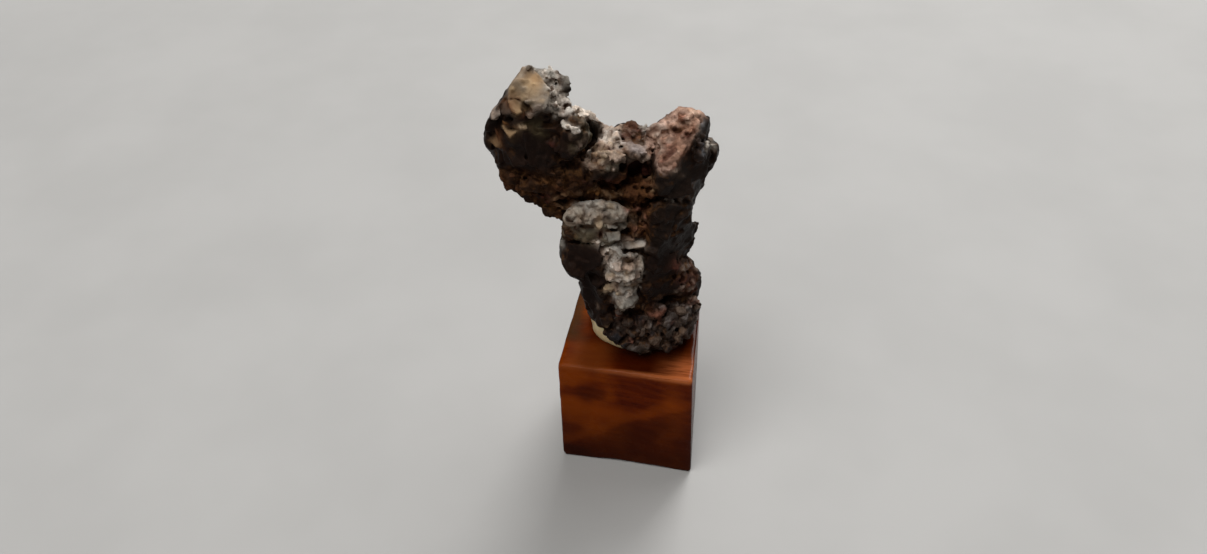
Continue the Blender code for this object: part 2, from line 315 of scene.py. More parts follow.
    def facet(s, poly, az, el, zone=DARK, tint=None, out=0.25, sink=1.8, k=0.08, rnd=0.12, flare=0.8, at=None):
        """A crystal whose front is one flat face with this outline and this facing direction."""
        poly = np.array(poly, float)
        c = poly.mean(0)
        a = c if at is None else at
        t0 = s.hit(*a) - out
        o = EYE + ray(*a) * t0
        n = np.array((math.cos(math.radians(az)) * math.cos(math.radians(el)),
                      math.sin(math.radians(az)) * math.cos(math.radians(el)), math.sin(math.radians(el))))
        pts = []
        for uv in poly:
            r = ray(*uv)
            t = float(np.clip(((o - EYE) @ n) / (r @ n), t0 - 4, t0 + 4))
            pts.append(EYE + r * t)
            r = ray(*(c + (uv - c) * flare))
            pts.append(EYE + r * (t + sink))
        s.gem(s.bent(pts), zone, k, '+', rnd, tint)

    def knob(s, u, v, r, zone=DARK, tint=None, out=0.0, turn=0, k=0.15, op='+', lean=0):
        """A small lump, or with op '-' a pit: radii across, up and towards the viewer, mm."""
        if np.ndim(r) == 0:
            r = (r, r, r)
        t = s.hit(u, v) - out
        a, b = math.radians(turn), math.radians(lean)
        x = SIDE * math.cos(a) - OVER * math.sin(a)
        y = SIDE * math.sin(a) + OVER * math.cos(a)
        z = -AHEAD
        y, z = y * math.cos(b) + z * math.sin(b), z * math.cos(b) - y * math.sin(b)
        s.ell(s.bent(EYE + ray(u, v) * t)[0], r, zone=zone, k=k, op=op, tint=tint, M=np.stack([x, y, z], 1))

    # a pit is tinted black unless another tint is given: painted shade in its depth
    def pit(s, u, v, r, tint='black', zone=DARK, out=0.0, turn=0, k=0.2, lean=0):
        s.knob(u, v, r, zone, tint, out, turn, k, '-', lean)

    def line(s, path, r, zone=DARK, tint=None, out=0.0, op='+', k=0.1):
        """A thin ridge, or with op '-' a crack, along a path of directions."""
        pts = []
        for i, (u, v) in enumerate(path):
            pts.append((u, v, s.hit(u, v) - out))
        q = s.bent([EYE + ray(u, v) * t for u, v, t in pts])
        for a, b in zip(q, q[1:]):
            sl, P = s.win(np.minimum(a, b) - r - 2, np.maximum(a, b) + r + 2)
            ab = (b - a).astype(np.float32)
            w = np.clip(((P - a.astype(np.float32)) @ ab) / float(ab @ ab), 0, 1)
            d = np.sqrt((((P - a.astype(np.float32)) - w[..., None] * ab) ** 2).sum(-1)) - r
            s.put(sl, d, zone, k, op, tint)

    def region(s, poly, tint, zone=None, ragged=2.2, deep=2.5, seed=0):
        """Colour alone, over all the surface seen inside an outline; the border is ragged."""
        poly = np.array(poly, float)
        lo = poly.min(0) - 6
        m = np.ceil((poly.max(0) + 6 - lo) / 2).astype(int) + 1
        u, v = np.meshgrid(lo[0] + 2 * np.arange(m[0]), lo[1] + 2 * np.arange(m[1]), indexing='ij')
        r = AHEAD + SIDE * (u[..., None] - 603.5) / 1050 - OVER * (v[..., None] - 277) / 1050
        D = np.full(u.shape, 999.0)
        for t in np.arange(225.0, 130.0, -0.3):
            i = np.round((EYE + t * r - s.lo) / s.h).astype(int)
            ok = ((i >= 0) & (i < s.n)).all(-1)
            i = np.clip(i, 0, s.n - 1)
            D[ok & (s.F[i[..., 0], i[..., 1], i[..., 2]] < 0)] = t
        near, far = D.min(), D[D < 900].max() + deep
        box = np.array([EYE + ray(a, b) * t for a in (lo[0], u.max()) for b in (lo[1], v.max()) for t in (near, far)])
        sl, P = s.win(np.maximum(box.min(0), s.lo), np.minimum(box.max(0), s.lo + s.h * (s.n - 1)))
        at = np.argwhere(np.abs(s.F[sl]) < 1.5) + np.array([q.start for q in sl])
        j = tuple(at.T)
        d = s.lo + s.h * at - EYE
        t = d @ AHEAD
        a, b = 603.5 + 1050 * (d @ SIDE) / t, 277 - 1050 * (d @ OVER) / t
        x = np.clip(((a - lo[0]) / 2).astype(int), 0, m[0] - 1)
        y = np.clip(((b - lo[1]) / 2).astype(int), 0, m[1] - 1)
        a = a + ragged * fbm(s.P[j], 1.4, 2, 901 + seed)
        b = b + ragged * fbm(s.P[j], 1.4, 2, 951 + seed)
        hit = within(poly, a, b) & (t < D[x, y] + deep)
        j = tuple(at[hit].T)
        s.T[j] = TINT[tint]
        if zone is not None:
            s.Z[j] = zone

    def crumbs(s, poly, count, lo, hi, zone, tints, seed, sink=0.5, round_=0.3, flat=0.6, op='+', k=0.1):
        """Small broken crystals scattered over the surface seen inside an outline."""
        rng = np.random.default_rng(seed)
        poly = np.array(poly, float)
        while count > 0:
            u, v = rng.uniform(poly.min(0), poly.max(0))
            if not within(poly, u, v):
                continue
            count -= 1
            x = EYE + ray(u, v) * s.hit(u, v)
            e = np.eye(3) * 0.45
            n = sample(s.F, s.lo, s.h, x + e) - sample(s.F, s.lo, s.h, x - e)
            n /= np.linalg.norm(n) + 1e-6
            half = rng.uniform(lo, hi) * rng.uniform(flat, 1.25, 3)
            c = s.bent(x)[0] - n * sink * half.min()
            tint = tints[int(rng.integers(len(tints)))]
            M = rot_m(rng.uniform(0, 360, 3))
            if rng.uniform() < round_:
                s.ell(c, half, zone=zone, k=k * 2, op=op, tint=tint, M=M)
            else:
                s.block(c, half, M, zone=zone, k=k, op=op, tint=tint)

    def trim(s, poly, near=150.0, far=215.0):
        """Cuts away everything seen inside this outline."""
        N, O = hull_planes([EYE + ray(u, v) * t for u, v in poly for t in (near, far)])
        pts = np.array([EYE + ray(u, v) * t for u, v in poly for t in (near, far)])
        sl, P = s.win(np.maximum(pts.min(0), s.lo), np.minimum(pts.max(0), s.lo + s.h * (s.n - 1)))
        d = np.max([P @ n.astype(np.float32) - np.float32(o) for n, o in zip(N, O)], axis=0)
        s.put(sl, d, None, 0.5, '-')

    def outline(s, poly, k=0.5):
        """Takes off whatever stands outside this outline, seen from the front."""
        poly = np.array(poly, float)
        lo, hi = poly.min(0) - 40, poly.max(0) + 40
        m = np.ceil(hi - lo).astype(int) + 1
        g = np.stack(np.meshgrid(lo[0] + np.arange(m[0]), lo[1] + np.arange(m[1]), indexing='ij'), -1)
        best = np.full(g.shape[:2], 1e9)
        for a, b in zip(poly, np.roll(poly, -1, 0)):
            ab = b - a
            w = np.clip(((g - a) @ ab) / (ab @ ab), 0, 1)
            best = np.minimum(best, ((g - a - w[..., None] * ab) ** 2).sum(-1))
        D = np.sqrt(best) * np.where(within(poly, g[..., 0], g[..., 1]), -1, 1)
        ax = [s.lo[i] + s.h * np.arange(s.n[i]) for i in range(3)]
        for j in range(s.n[0]):
            P = np.stack(np.meshgrid(ax[1], ax[2], indexing='ij'), -1)
            P = np.concatenate([np.full(P.shape[:2] + (1,), ax[0][j]), P], -1) - EYE
            t = P @ AHEAD
            u = 603.5 + 1050 * (P @ SIDE) / t - lo[0]
            v = 277 - 1050 * (P @ OVER) / t - lo[1]
            u, v = np.clip(u, 0, m[0] - 1.01), np.clip(v, 0, m[1] - 1.01)
            i, l = u.astype(int), v.astype(int)
            a, b = u - i, v - l
            d = ((D[i, l] * (1 - a) + D[i + 1, l] * a) * (1 - b) + (D[i, l + 1] * (1 - a) + D[i + 1, l + 1] * a) * b)
            d = (d * t / 1050).astype(np.float32)
            F = s.F[j]
            h = np.maximum(k - np.abs(F - d), 0) / k
            s.F[j] = np.maximum(F, d) + h * h * k / 4

    def paint(s, u, v, r, tint, zone=None, turn=0):
        """Colour alone, over the surface seen here."""
        t = s.hit(u, v)
        if np.ndim(r) == 0:
            r = (r, r, r)
        a = math.radians(turn)
        M = np.stack([SIDE * math.cos(a) - OVER * math.sin(a), SIDE * math.sin(a) + OVER * math.cos(a), -AHEAD], 1)
        c = s.bent(EYE + ray(u, v) * t)[0].astype(np.float32)
        sl, P = s.win(c - max(r) - 1, c + max(r) + 1)
        q = ((P - c) @ M.astype(np.float32)) / np.array(r, np.float32)
        m = (q * q).sum(-1) < 1
        s.T[sl][m] = TINT[tint]
        if zone is not None:
            s.Z[sl][m] = zone


def surface_net(F, lo, h):
    """Quad mesh of the zero level."""
    S = F < 0
    nx, ny, nz = F.shape
    cnt = np.zeros((nx - 1, ny - 1, nz - 1), np.int8)
    for a in (0, 1):
        for b in (0, 1):
            for c in (0, 1):
                cnt += S[a:nx - 1 + a, b:ny - 1 + b, c:nz - 1 + c]
    mask = (cnt > 0) & (cnt < 8)
    idx = np.full(mask.shape, -1, np.int32)
    I, J, K = np.nonzero(mask)
    idx[I, J, K] = np.arange(len(I))
    pos = np.zeros((len(I), 3), np.float32)
    num = np.zeros(len(I), np.float32)
    corners = [(a, b, c) for a in (0, 1) for b in (0, 1) for c in (0, 1)]
    for p in corners:
        for ax in range(3):
            if p[ax]:
                continue
            q = list(p); q[ax] = 1
            fa = F[I + p[0], J + p[1], K + p[2]]
            fb = F[I + q[0], J + q[1], K + q[2]]
            cr = (fa < 0) != (fb < 0)
            t = np.where(cr, fa / np.where(cr, fa - fb, 1), 0)
            pt = np.tile(np.array(p, np.float32), (len(I), 1))
            pt[:, ax] += t
            pos += pt * cr[:, None]
            num += cr
    pos /= num[:, None]
    V = np.array(lo) + h * (np.stack([I, J, K], 1) + pos)
    quads = []
    for ax in range(3):
        a, b = [(1, 2), (2, 0), (0, 1)][ax]
        sl0 = [slice(None)] * 3; sl1 = [slice(None)] * 3
        sl0[ax] = slice(0, -1); sl1[ax] = slice(1, None)
        for o in (a, b):
            sl0[o] = slice(1, -1); sl1[o] = slice(1, -1)
        A, B = S[tuple(sl0)], S[tuple(sl1)]
        g = np.nonzero(A != B)
        inside = A[g]
        e = [g[0].copy(), g[1].copy(), g[2].copy()]
        for o in (a, b):
            e[o] = e[o] + 1
        def cell(da, db):
            c = [e[0], e[1], e[2]]
            c[a] = c[a] + da; c[b] = c[b] + db
            return idx[c[0], c[1], c[2]]
        q = np.stack([cell(-1, -1), cell(0, -1), cell(0, 0), cell(-1, 0)], 1)
        q[~inside] = q[~inside][:, ::-1]
        quads.append(q)
    return V, np.concatenate(quads)


def biggest_piece(V, Q):
    """Keeps the largest connected part, and drops crumbs and sealed voids."""
    lab = np.arange(len(V))
    e = np.concatenate([Q[:, [0, 1]], Q[:, [1, 2]], Q[:, [2, 3]], Q[:, [3, 0]]])
    while True:
        m = np.minimum(lab[e[:, 0]], lab[e[:, 1]])
        new = lab.copy()
        np.minimum.at(new, e[:, 0], m)
        np.minimum.at(new, e[:, 1], m)
        new = new[new]
        if (new == lab).all():
            break
        lab = new
    roots, count = np.unique(lab, return_counts=True)
    keep = lab == roots[count.argmax()]
    remap = np.cumsum(keep) - 1
    Q = Q[keep[Q[:, 0]]]
    return V[keep], remap[Q], keep


def sample(F, lo, h, V):
    """Trilinear read of a grid at points."""
    q = (V - np.array(lo)) / h
    i = np.clip(np.floor(q).astype(int), 0, np.array(F.shape) - 2)
    f = q - i
    out = 0
    for a in (0, 1):
        for b in (0, 1):
            for c in (0, 1):
                w = (f[:, 0] if a else 1 - f[:, 0]) * (f[:, 1] if b else 1 - f[:, 1]) * (f[:, 2] if c else 1 - f[:, 2])
                out = out + w * F[i[:, 0] + a, i[:, 1] + b, i[:, 2] + c]
    return out

def stone_shapes(f):
    """The big forms: trunk, the leaning head, the two horns of the fork, flanks and foot."""
    def E(c, r, **kw):
        f.ell(f.bent(c)[0], r, **kw)

    def G(pts, **kw):
        f.gem(f.bent(pts), **kw)

    # trunk
    E((1.5, 1.0, 35.5), (10, 8, 12), k=1.5)
    E((-0.5, 1.5, 50), (10, 7.5, 12), k=2)
    E((2, 2.0, 60), (10, 6, 8), k=2)
    E((-11, 1.0, 62.5), (11, 5.5, 5.5), rot=(0, 25, 0), zone=OCHRE, tint='umber', k=2)
    # far side
    E((-17, 4.5, 70), (4.5, 3.2, 5.0), rot=(0, 10, 0), k=1.0)
    G([(-8, 6, 66), (-2, 7.5, 66.5), (-1, 9, 61), (-7, 9.5, 60), (-10, 6, 60), (-4, 9, 56), (-8, 4, 58),
       (0, 4, 62), (-4, 4, 67)], k=0.5)
    G([(1, 6, 66), (8, 7, 66.5), (10, 9, 60), (3, 10, 58.5), (0, 7, 57), (8, 8, 54), (4, 3, 60), (9, 3, 62),
       (3, 3, 67)], zone=SLATE, k=0.5)
    E((-2, 6, 50), (8, 4.0, 8), zone=OCHRE, tint='umber', k=2.5)
    G([(-7, 8.5, 56), (-1, 10.0, 55.5), (1.5, 9.6, 50), (-3, 11.0, 48), (-8, 9.0, 50), (-4, 9, 44), (1, 7, 46),
       (-3, 4, 56), (-4, 4, 46)], zone=OCHRE, tint='umber', k=0.8, rnd=0.4)
    G([(-9, 5, 52), (-4, 9.5, 52.5), (-3, 10.5, 46), (-8, 8, 43), (-11, 4, 46), (-5, 8, 41), (-6, 3, 48),
       (-8, 2, 40)], zone=DARK, tint='umber', k=0.8)
    G([(2, 8, 53), (8, 7.5, 53), (10, 7.5, 47), (5, 10.5, 46), (1, 9.5, 45), (7, 9, 41.5), (3, 4, 46),
       (9, 4, 42)], k=0.4)
    E((1, 5.5, 37), (8, 5, 7), zone=CRUST, k=1.2)
    E((3, 4.5, 30.5), (8, 5.5, 6), zone=CRUST, k=1.0)
    # head
    G([(-17, 1, 82.3), (-13.8, 1.5, 81.4), (-19.6, -4.5, 80.2), (-16.2, -6.5, 79.3), (-13.3, -5.5, 77.9),
       (-22.3, -3, 76.2), (-24.2, -2.5, 70.5), (-22.7, -2.5, 65), (-20, -7, 73), (-15, -8, 71),
       (-10.8, -7, 71.5), (-11.4, -2.5, 76.6), (-16, 5.5, 75.0), (-22, 4, 72), (-12, 4.5, 72.5),
       (-16, 7, 66), (-22, 3, 65), (-11, 6, 66), (-17, -6, 64.5), (-11.5, -5, 63.5)], rnd=0.4)
    G([(-22.8, -2.5, 65.6), (-22.1, -4.0, 63.0), (-17.0, -4.6, 58.0), (-12.0, -5.6, 55.0), (-15, -7.5, 68),
       (-9, -7, 67), (-5, -3.5, 61), (-20, 4, 64), (-12, 6, 58), (-6, 6, 58), (-8, 6, 68)],
      zone=OCHRE, tint='umber', k=1.0, rnd=0.8)
    for c, r in (((-13.0, 0.3, 79.8), (1.5, 1.5, 1.4)), ((-12.0, 0.0, 78.2), (1.4, 1.4, 1.4)),
                 ((-12.2, -2.8, 77.6), (1.4, 1.5, 1.2)), ((-11.4, -1.8, 75.8), (1.5, 1.6, 1.4)),
                 ((-11.3, -4.9, 76.4), (1.5, 1.2, 1.1)), ((-12.0, -1.4, 78.9), (0.9, 1.0, 0.8)),
                 ((-13.6, 1.0, 81.0), (0.8, 0.9, 0.7)), ((-11.0, -3.4, 77.0), (0.9, 0.9, 0.7)),
                 ((-10.6, -0.3, 75.2), (0.9, 0.9, 0.9)), ((-12.6, -4.6, 77.4), (0.7, 0.7, 0.6))):
        E(c, r, zone=LGRAY, k=0.25)
    # rounded crystal on the head's right
    E((-9.8, -6.0, 73.2), (2.4, 2.6, 3.0), zone=GBROWN, tint='olive', k=0.3)
    # bridge, and a pit tinted black: painted shade in its depth
    G([(-10.6, 0.0, 75.4), (-9.8, 1.6, 73.9), (-7.2, 1.6, 71.7), (-3.6, 1.8, 69.6), (-9, 4.0, 71),
       (-3.4, 4.5, 67), (-9, 1.2, 67), (-4, 1.2, 66), (-10, -0.4, 73.6)], zone=LGRAY, tint='greypink', k=0.4)
    E((-6.9, -1.5, 69.5), (1.5, 3.5, 3.4), zone=DARK, tint='black', k=0.4, op='-')
    # knob
    E((-4.3, -3.5, 66.2), (4.0, 3.4, 3.0), zone=GBROWN, k=0.5)
    G([(-4.4, 1.2, 70.3), (-1.8, 1.2, 70.2), (-1.9, -4, 69.4), (-4.8, -4.4, 69.6), (-6.6, -4.3, 69.0),
       (-6, -3, 65.5), (-1.5, -3, 65.5), (-4, 3, 65), (-1, 3, 66)], zone=PINK, tint='greypink', k=0.1)
    # second lump and the cleft under it
    G([(-1.7, 1, 70.7), (-0.1, 2, 71.0), (2.2, 2, 70.3), (3.4, -1, 69.7), (2.2, -5.8, 69.0), (-1.6, -5.2, 69.3),
       (0, -6.3, 68.9), (-1, -3, 65.5), (3, -3, 66), (0, 3, 65)], zone=GBROWN, k=0.2)
    E((0.7, -5.5, 64.8), (2.6, 3.0, 2.4), zone=DARK, tint='maroon', k=0.6, op='-')
    # right horn
    G([(9.3, 0.5, 73.8), (12.1, -0.5, 72.6), (7.4, 1, 73.3), (5.1, 0, 72.1), (2.8, -1.5, 69.6), (10.9, -4, 69.3),
       (7.7, -7, 70.2), (6.0, -8, 68.0), (4, -8, 66.2), (3.2, -5, 67), (10.6, -1, 55), (5.4, -7.6, 61.5),
       (9.6, -4.6, 60.5), (12.4, 0, 59.6), (11.6, 5, 67.0), (6, 6, 67.5), (3, 6, 64), (11.5, 6, 57), (3, 6, 56),
       (2.5, -6, 61)], zone=SLATE, rnd=0.5)
    G([(13.7, 1, 66.2), (14.4, 0.5, 63.4), (11.8, -1.6, 66.6), (12.4, 0, 59.8), (12.0, 3, 65), (13.2, 3, 61),
       (11, 4, 59), (10.5, -3, 63)], zone=SLATE, k=0.2)
    # right flank
    G([(5.2, -8.2, 60.8), (10, -5, 58), (10.7, -1, 54.8), (11.2, -1, 50.5), (10.6, -2, 46.5), (9.0, -2, 43.6),
       (4, -8.6, 50), (3, -7.6, 44), (10, 6, 57), (9, 6, 44), (2, 7, 50), (2, -7, 58)], zone=SLATE, rnd=0.5)
    for c, r in (((10.7, -0.5, 50.0), (1.2, 1.3, 1.3)), ((10.0, -1.2, 47.2), (1.3, 1.5, 1.2)),
                 ((9.2, -1.5, 45.2), (1.2, 1.5, 1.0))):
        E(c, r, zone=GBROWN, tint='dark', k=0.3)
    G([(8.3, -4.5, 45.8), (9.6, -2, 43.6), (12.4, 0, 40), (12.6, -0.5, 37), (12.0, -1, 33.5), (1.5, -8, 46.5),
       (2, -8.2, 41), (10, -4.6, 39), (11, 6, 42), (10, 7, 32), (3, 6, 46), (2, -5, 33)], zone=RED, tint='dark',
      k=0.3, rnd=0.4)
    # foot
    E((3.2, -0.3, 31.8), (8.8, 7.6, 6.8), zone=CRUST, k=0.8)
    E((8.4, -2.6, 31.4), (3.3, 3.2, 4.6), zone=CRUST, k=0.8)
    E((2.8, -4.6, 29.4), (5.2, 3.2, 4.4), zone=CRUST, k=0.8)
    E((-2.6, -3.6, 33.2), (3.0, 3.4, 4.6), zone=CRUST, k=0.8)
    # left flank
    G([(-13.2, -3.5, 49), (-12.3, -6, 51.5), (-12.3, -3, 43.6), (-10.4, -3, 41.3), (-5.3, -8.6, 52),
       (-6, -8.6, 46), (-7, -6.5, 41), (-9, 4, 50), (-11, 3, 44), (-3, 0, 40), (-3, 4, 52), (-12, 0, 54)],
      k=0.2, rnd=0.35)
    G([(-10.2, -2.5, 41), (-9.8, -2, 37), (-8.4, -4, 32), (-6, -8, 40), (-5.5, -8, 46), (-5, -7.6, 33),
       (-8, 4, 38), (-6, 4, 30), (0, 0, 40)], k=0.2, rnd=0.35)
    # the trunk swells in front, behind the ball and the column
    E((-2.4, -3.6, 44.5), (4.6, 4.4, 9.5), k=1.6)
    E((-6.6, -3.2, 54.8), (5.6, 4.2, 4.6), tint='umber', k=1.6)
    # ball in the middle
    E((-6.9, -5.6, 55.5), (5.2, 3.4, 3.6), zone=BALL, tint='olivegrey', k=0.8)
    E((-10.4, -4.6, 53.5), (2.3, 2.2, 1.8), zone=GBROWN, tint='brown', k=0.6)
    # column of pale crystals
    G([(-5.9, -7.2, 52.08), (-2, -7.2, 52.08), (-4.4, -8.6, 50.18), (-1.6, -8.6, 49.98), (-5.6, -7.2, 48.18),
       (-1, -5, 49.18), (-4, -4, 52.18)], zone=LGRAY, tint='greypink', k=0.35)
    G([(-5.2, -8, 49.38), (0.8, -7.6, 48.58), (1.2, -7.2, 46.78), (-3.6, -9.2, 47.18), (-1.2, -9.3, 46.78),
       (-4.8, -7.8, 44.78), (0.8, -7.2, 43.78), (-2, -8.6, 44.68), (-2, -4, 47.18), (0.6, -4, 45.18)], zone=LGRAY,
      tint='greypink', k=0.35)
    G([(-4.9, -7.8, 43.58), (-4.6, -8, 41.18), (0.6, -7.2, 44.18), (0.4, -7, 40.68), (-0.6, -7.8, 38.18),
       (-2.8, -8.4, 37.58), (-2.4, -9, 42.38), (-2.6, -8.8, 44.58), (-2, -3, 41.18), (-4, -5, 39.18)],
      zone=BALL, tint='grey', k=0.35)


def front_features(f):
    """The crystals, facets, ridges and hollows seen on the front, each where it shows."""
    F, K, L, H, C = f.facet, f.knob, f.line, f.pit, f.paint
    # ---------------- head, top
    F([(522, 66), (531, 67), (541, 76), (549, 88), (550, 101), (545, 111), (536, 111), (530, 105), (519, 100),
       (507, 98), (509, 89), (515, 78)], -97, 64, TAN, 'tan', 0.5, sink=4, at=(530, 90), k=0.25)
    f.region([(518, 64), (530, 66), (526, 80), (521, 92), (521, 102), (505, 100), (507, 86)], 'tangrey', TAN, ragged=4)
    f.region([(524, 74), (536, 76), (541, 88), (537, 98), (528, 97), (522, 86)], 'tanlit', TAN, ragged=3, seed=21)
    f.region([(507, 92), (516, 82), (523, 92), (520, 101), (506, 101)], 'tandark', TAN, ragged=4, seed=22)
    f.region([(530, 100), (548, 90), (551, 101), (545, 112), (534, 112)], 'ashen', TAN, ragged=5, seed=2)
    f.crumbs([(510, 90), (530, 70), (548, 92), (544, 110), (530, 104), (512, 98)], 14, 0.25, 0.6, TAN, ('tan', 'tangrey', 'tanlit'),
             89, sink=0.85, round_=0.1, k=0.12)
    f.crumbs([(520, 98), (534, 104), (548, 106), (552, 92), (556, 100), (550, 114), (534, 114), (518, 104)], 26, 0.18, 0.42, LGRAY,
             ('ashen', 'grey', 'gbrown', 'white', 'ashen'), 96, sink=0.5, round_=0.1, k=0.06)
    f.crumbs([(522, 64), (540, 70), (552, 84), (556, 96), (549, 92), (541, 76), (528, 68)], 26, 0.15, 0.36, LGRAY,
             ('grey', 'white', 'ashen', 'snow'), 97, sink=0.5, round_=0.1, k=0.06)
    F([(527, 65), (545, 70), (550, 80), (545, 86), (541, 77), (533, 70)], -45, 66, BALL, 'grey', 0.2)
    F([(545, 84), (551, 81), (556, 92), (553, 113), (547, 111), (549, 100)], -45, 58, BALL, 'grey', 0.2)
    # white broken lumps, right of the top
    F([(541, 68), (556, 70), (561, 76), (553, 80), (545, 77)], -60, 74, LGRAY, 'snow', 0.2)
    F([(557, 71), (569, 80), (570, 86), (563, 84), (557, 78)], -30, 60, LGRAY, 'gbrown', 0.2)
    F([(547, 82), (556, 84), (560, 91), (553, 93)], -80, 66, LGRAY, 'snow', 0.2)
    F([(555, 91), (566, 94), (571, 103), (561, 107), (553, 101)], -70, 70, LGRAY, 'snow', 0.3)
    F([(552, 105), (566, 106), (568, 115), (557, 118), (552, 113)], -85, 50, LGRAY, 'grey', 0.2)
    f.crumbs([(541, 68), (556, 69), (570, 82), (568, 92), (572, 105), (568, 116), (553, 117), (554, 95), (546, 80)],
             46, 0.22, 0.62, LGRAY, ('snow', 'white', 'snow', 'grey', 'gbrown'), 72, sink=0.45, round_=0.05, k=0.06)
    f.crumbs([(543, 69), (558, 71), (569, 82), (568, 92), (571, 104), (568, 115), (555, 116), (553, 95)],
             50, 0.14, 0.34, LGRAY, ('snow', 'white', 'grey', 'gbrown', 'snow'), 94, sink=0.6, round_=0.05, k=0.06)
    f.crumbs([(566, 110), (590, 114), (606, 127), (600, 131), (584, 119), (568, 116)],
             26, 0.14, 0.32, LGRAY, ('snow', 'white', 'greypink', 'snow'), 95, sink=0.6, round_=0.05, k=0.06)
    f.crumbs([(548, 76), (564, 84), (564, 112), (555, 114)], 8, 0.16, 0.30, LGRAY, ('gbrown', 'brown', 'black'), 73,
             sink=0.0, op='-', round_=0.8)
    K(562, 82, (0.7, 0.8, 0.5), LGRAY, 'gbrown', 0.1)
    H(552, 82, (0.5, 0.35, 0.5), 'gbrown')
    K(566.5, 81.0, (0.75, 0.85, 0.8), LGRAY, 'grey', -0.25)
    # black where the hole is: painted shade in its depth
    K(566.2, 89.0, (0.85, 0.7, 0.9), DARK, 'black', -0.2)
    f.region([(558, 73), (562, 76), (565, 84), (571, 86), (571, 93), (563, 93), (560, 86)], 'black', DARK, ragged=0.6, seed=24)
    f.region([(556.5, 71), (560, 73), (563, 80), (564, 86), (560, 87), (558, 79)], 'umber', GBROWN, ragged=0.6, seed=25)
    H(566, 106, (0.25, 0.5, 0.4), 'brown', turn=30)
    # pale crystals left of the top
    L([(504, 100), (512, 99.5), (520, 101), (528, 108), (533, 113)], 0.28, DARK, 'brown', 0.0, '-')
    F([(507, 100), (516, 99), (524, 107), (523, 113), (517, 117), (510, 114)], -62, 60, TAN, 'tan', 0.6)
    f.region([(507, 100), (512, 99), (513, 116), (507, 112)], 'brown', TAN, ragged=1.5, seed=23)
    F([(502, 102), (510, 100), (513, 113), (508, 116), (500, 114)], -150, 30, TAN, 'gbrown', 0.5)
    F([(497, 103), (501, 112), (497, 120), (491, 118), (490, 112)], -135, 56, LGRAY, 'greypink', 0.25)
    F([(488, 127), (493, 128), (500, 142), (497, 149), (490, 142), (487, 134)], -130, 46, TAN, 'tandark', 0.3)
    F([(495, 128), (502, 132), (506, 147), (500, 149)], -60, 18, DARK, 'brown', 0.2)
    F([(501, 125), (521, 129), (518, 132), (509, 140)], -88, 62, TAN, 'tan', 0.6)
    F([(501, 120), (518, 123), (518, 128), (502, 125)], -80, 20, DARK, 'ochre', 0.15)
    H(508, 119.5, (2.1, 0.5, 0.9), 'black', turn=4)
    H(490, 122, (0.5, 0.4, 0.5), 'black')
    H(525, 107, (0.65, 0.75, 0.6), 'olive', turn=-30)
    C(531, 104, (0.5, 0.8, 0.6), 'olive')
    K(523, 115, (0.45, 0.6, 0.4), GBROWN, 'brown', 0.1)
    K(530, 115.5, (0.4, 0.45, 0.4), LGRAY, 'greypink', 0.25)
    F([(519, 122), (525, 119), (529, 123), (526, 129), (520, 129)], -80, 60, LGRAY, 'beige', 0.45)
    # ---------------- head, front
    F([(500, 141), (524, 137), (528, 166), (504, 163)], -115, 6, DARK, 'dark', 0.15)
    F([(524, 133), (552, 128), (556, 165), (528, 168)], -88, 8, DARK, 'dark', 0.1)
    F([(548, 140), (560, 136), (566, 156), (556, 166), (547, 160)], -70, 12, DARK, 'dark', 0.25)
    F([(505, 150), (520, 148), (526, 166), (512, 168)], -105, 24, DARK, 'dark', 0.2)
    C(534, 124, (1.7, 1.1, 1.0), 'olive', turn=10)
    C(540, 133, (1.4, 0.8, 1.0), 'olive')
    K(564, 146, (1.5, 1.3, 0.8), GBROWN, 'maroon', -0.15)
    F([(560, 136), (572, 138), (571, 150), (562, 153)], -70, 22, GBROWN, 'umber', 0.2)
    K(554, 138.5, (0.3, 0.3, 0.25), GBROWN, 'greypink', 0.1)
    K(556.5, 150, (0.3, 0.28, 0.25), GBROWN, 'gbrown', 0.1)
    K(553, 144, (0.5, 0.5, 0.3), GBROWN, 'maroon', 0.05)
    # ball at the head's right
    F([(568, 117), (581, 118), (584, 127), (578, 131), (566, 124)], -72, 58, BALL, 'olive', 0.2)
    F([(560, 130), (577, 136), (577, 154), (561, 157)], -92, 5, DARK, 'dark', 0.1)
    f.region([(560, 128), (572, 131), (581, 134), (587, 140), (584, 152), (576, 160), (556, 160), (552, 140)], 'dark',
             DARK, ragged=2, seed=4)
    f.region([(569, 118), (583, 119), (586, 130), (580, 133), (570, 127)], 'olive', GBROWN, ragged=2, seed=14)
    f.crumbs([(566, 118), (583, 118), (588, 130), (582, 150), (572, 156), (566, 140)], 40, 0.18, 0.45, GBROWN,
             ('olive', 'dark', 'umber', 'gbrown', 'dark', 'olive'), 91, sink=0.5, round_=0.15, k=0.06)
    F([(577, 137), (582, 135), (582, 145), (578, 148)], -60, 44, GBROWN, 'gbrown', 0.2)
    L([(562.5, 122), (568, 126.5), (574, 130), (578.5, 131.5)], 0.42, LGRAY, 'snow', 0.4)
    f.crumbs([(561, 119), (568, 124), (579, 130), (576, 133), (566, 128)], 9, 0.16, 0.32, LGRAY, ('snow', 'white', 'snow'),
             92, sink=0.4, round_=0.1, k=0.06)
    L([(584.5, 119), (588, 126), (588.5, 134), (586.5, 142), (583, 148)], 0.22, BALL, 'grey', 0.1)
    f.crumbs([(572, 150), (580, 142), (586, 146), (580, 156)], 10, 0.16, 0.34, GBROWN, ('gbrown', 'greypink', 'olive'),
             93, sink=0.4, round_=0.1, k=0.06)
    # bridge
    F([(565, 112), (576, 108), (590, 115), (584, 119), (570, 118)], -90, 66, LGRAY, 'snow', 0.3)
    L([(567, 112), (576, 109), (588, 114), (596, 119)], 0.5, LGRAY, 'snow', -0.1)
    L([(592, 117), (602, 125), (609, 130)], 0.3, LGRAY, 'greypink', 0.0)
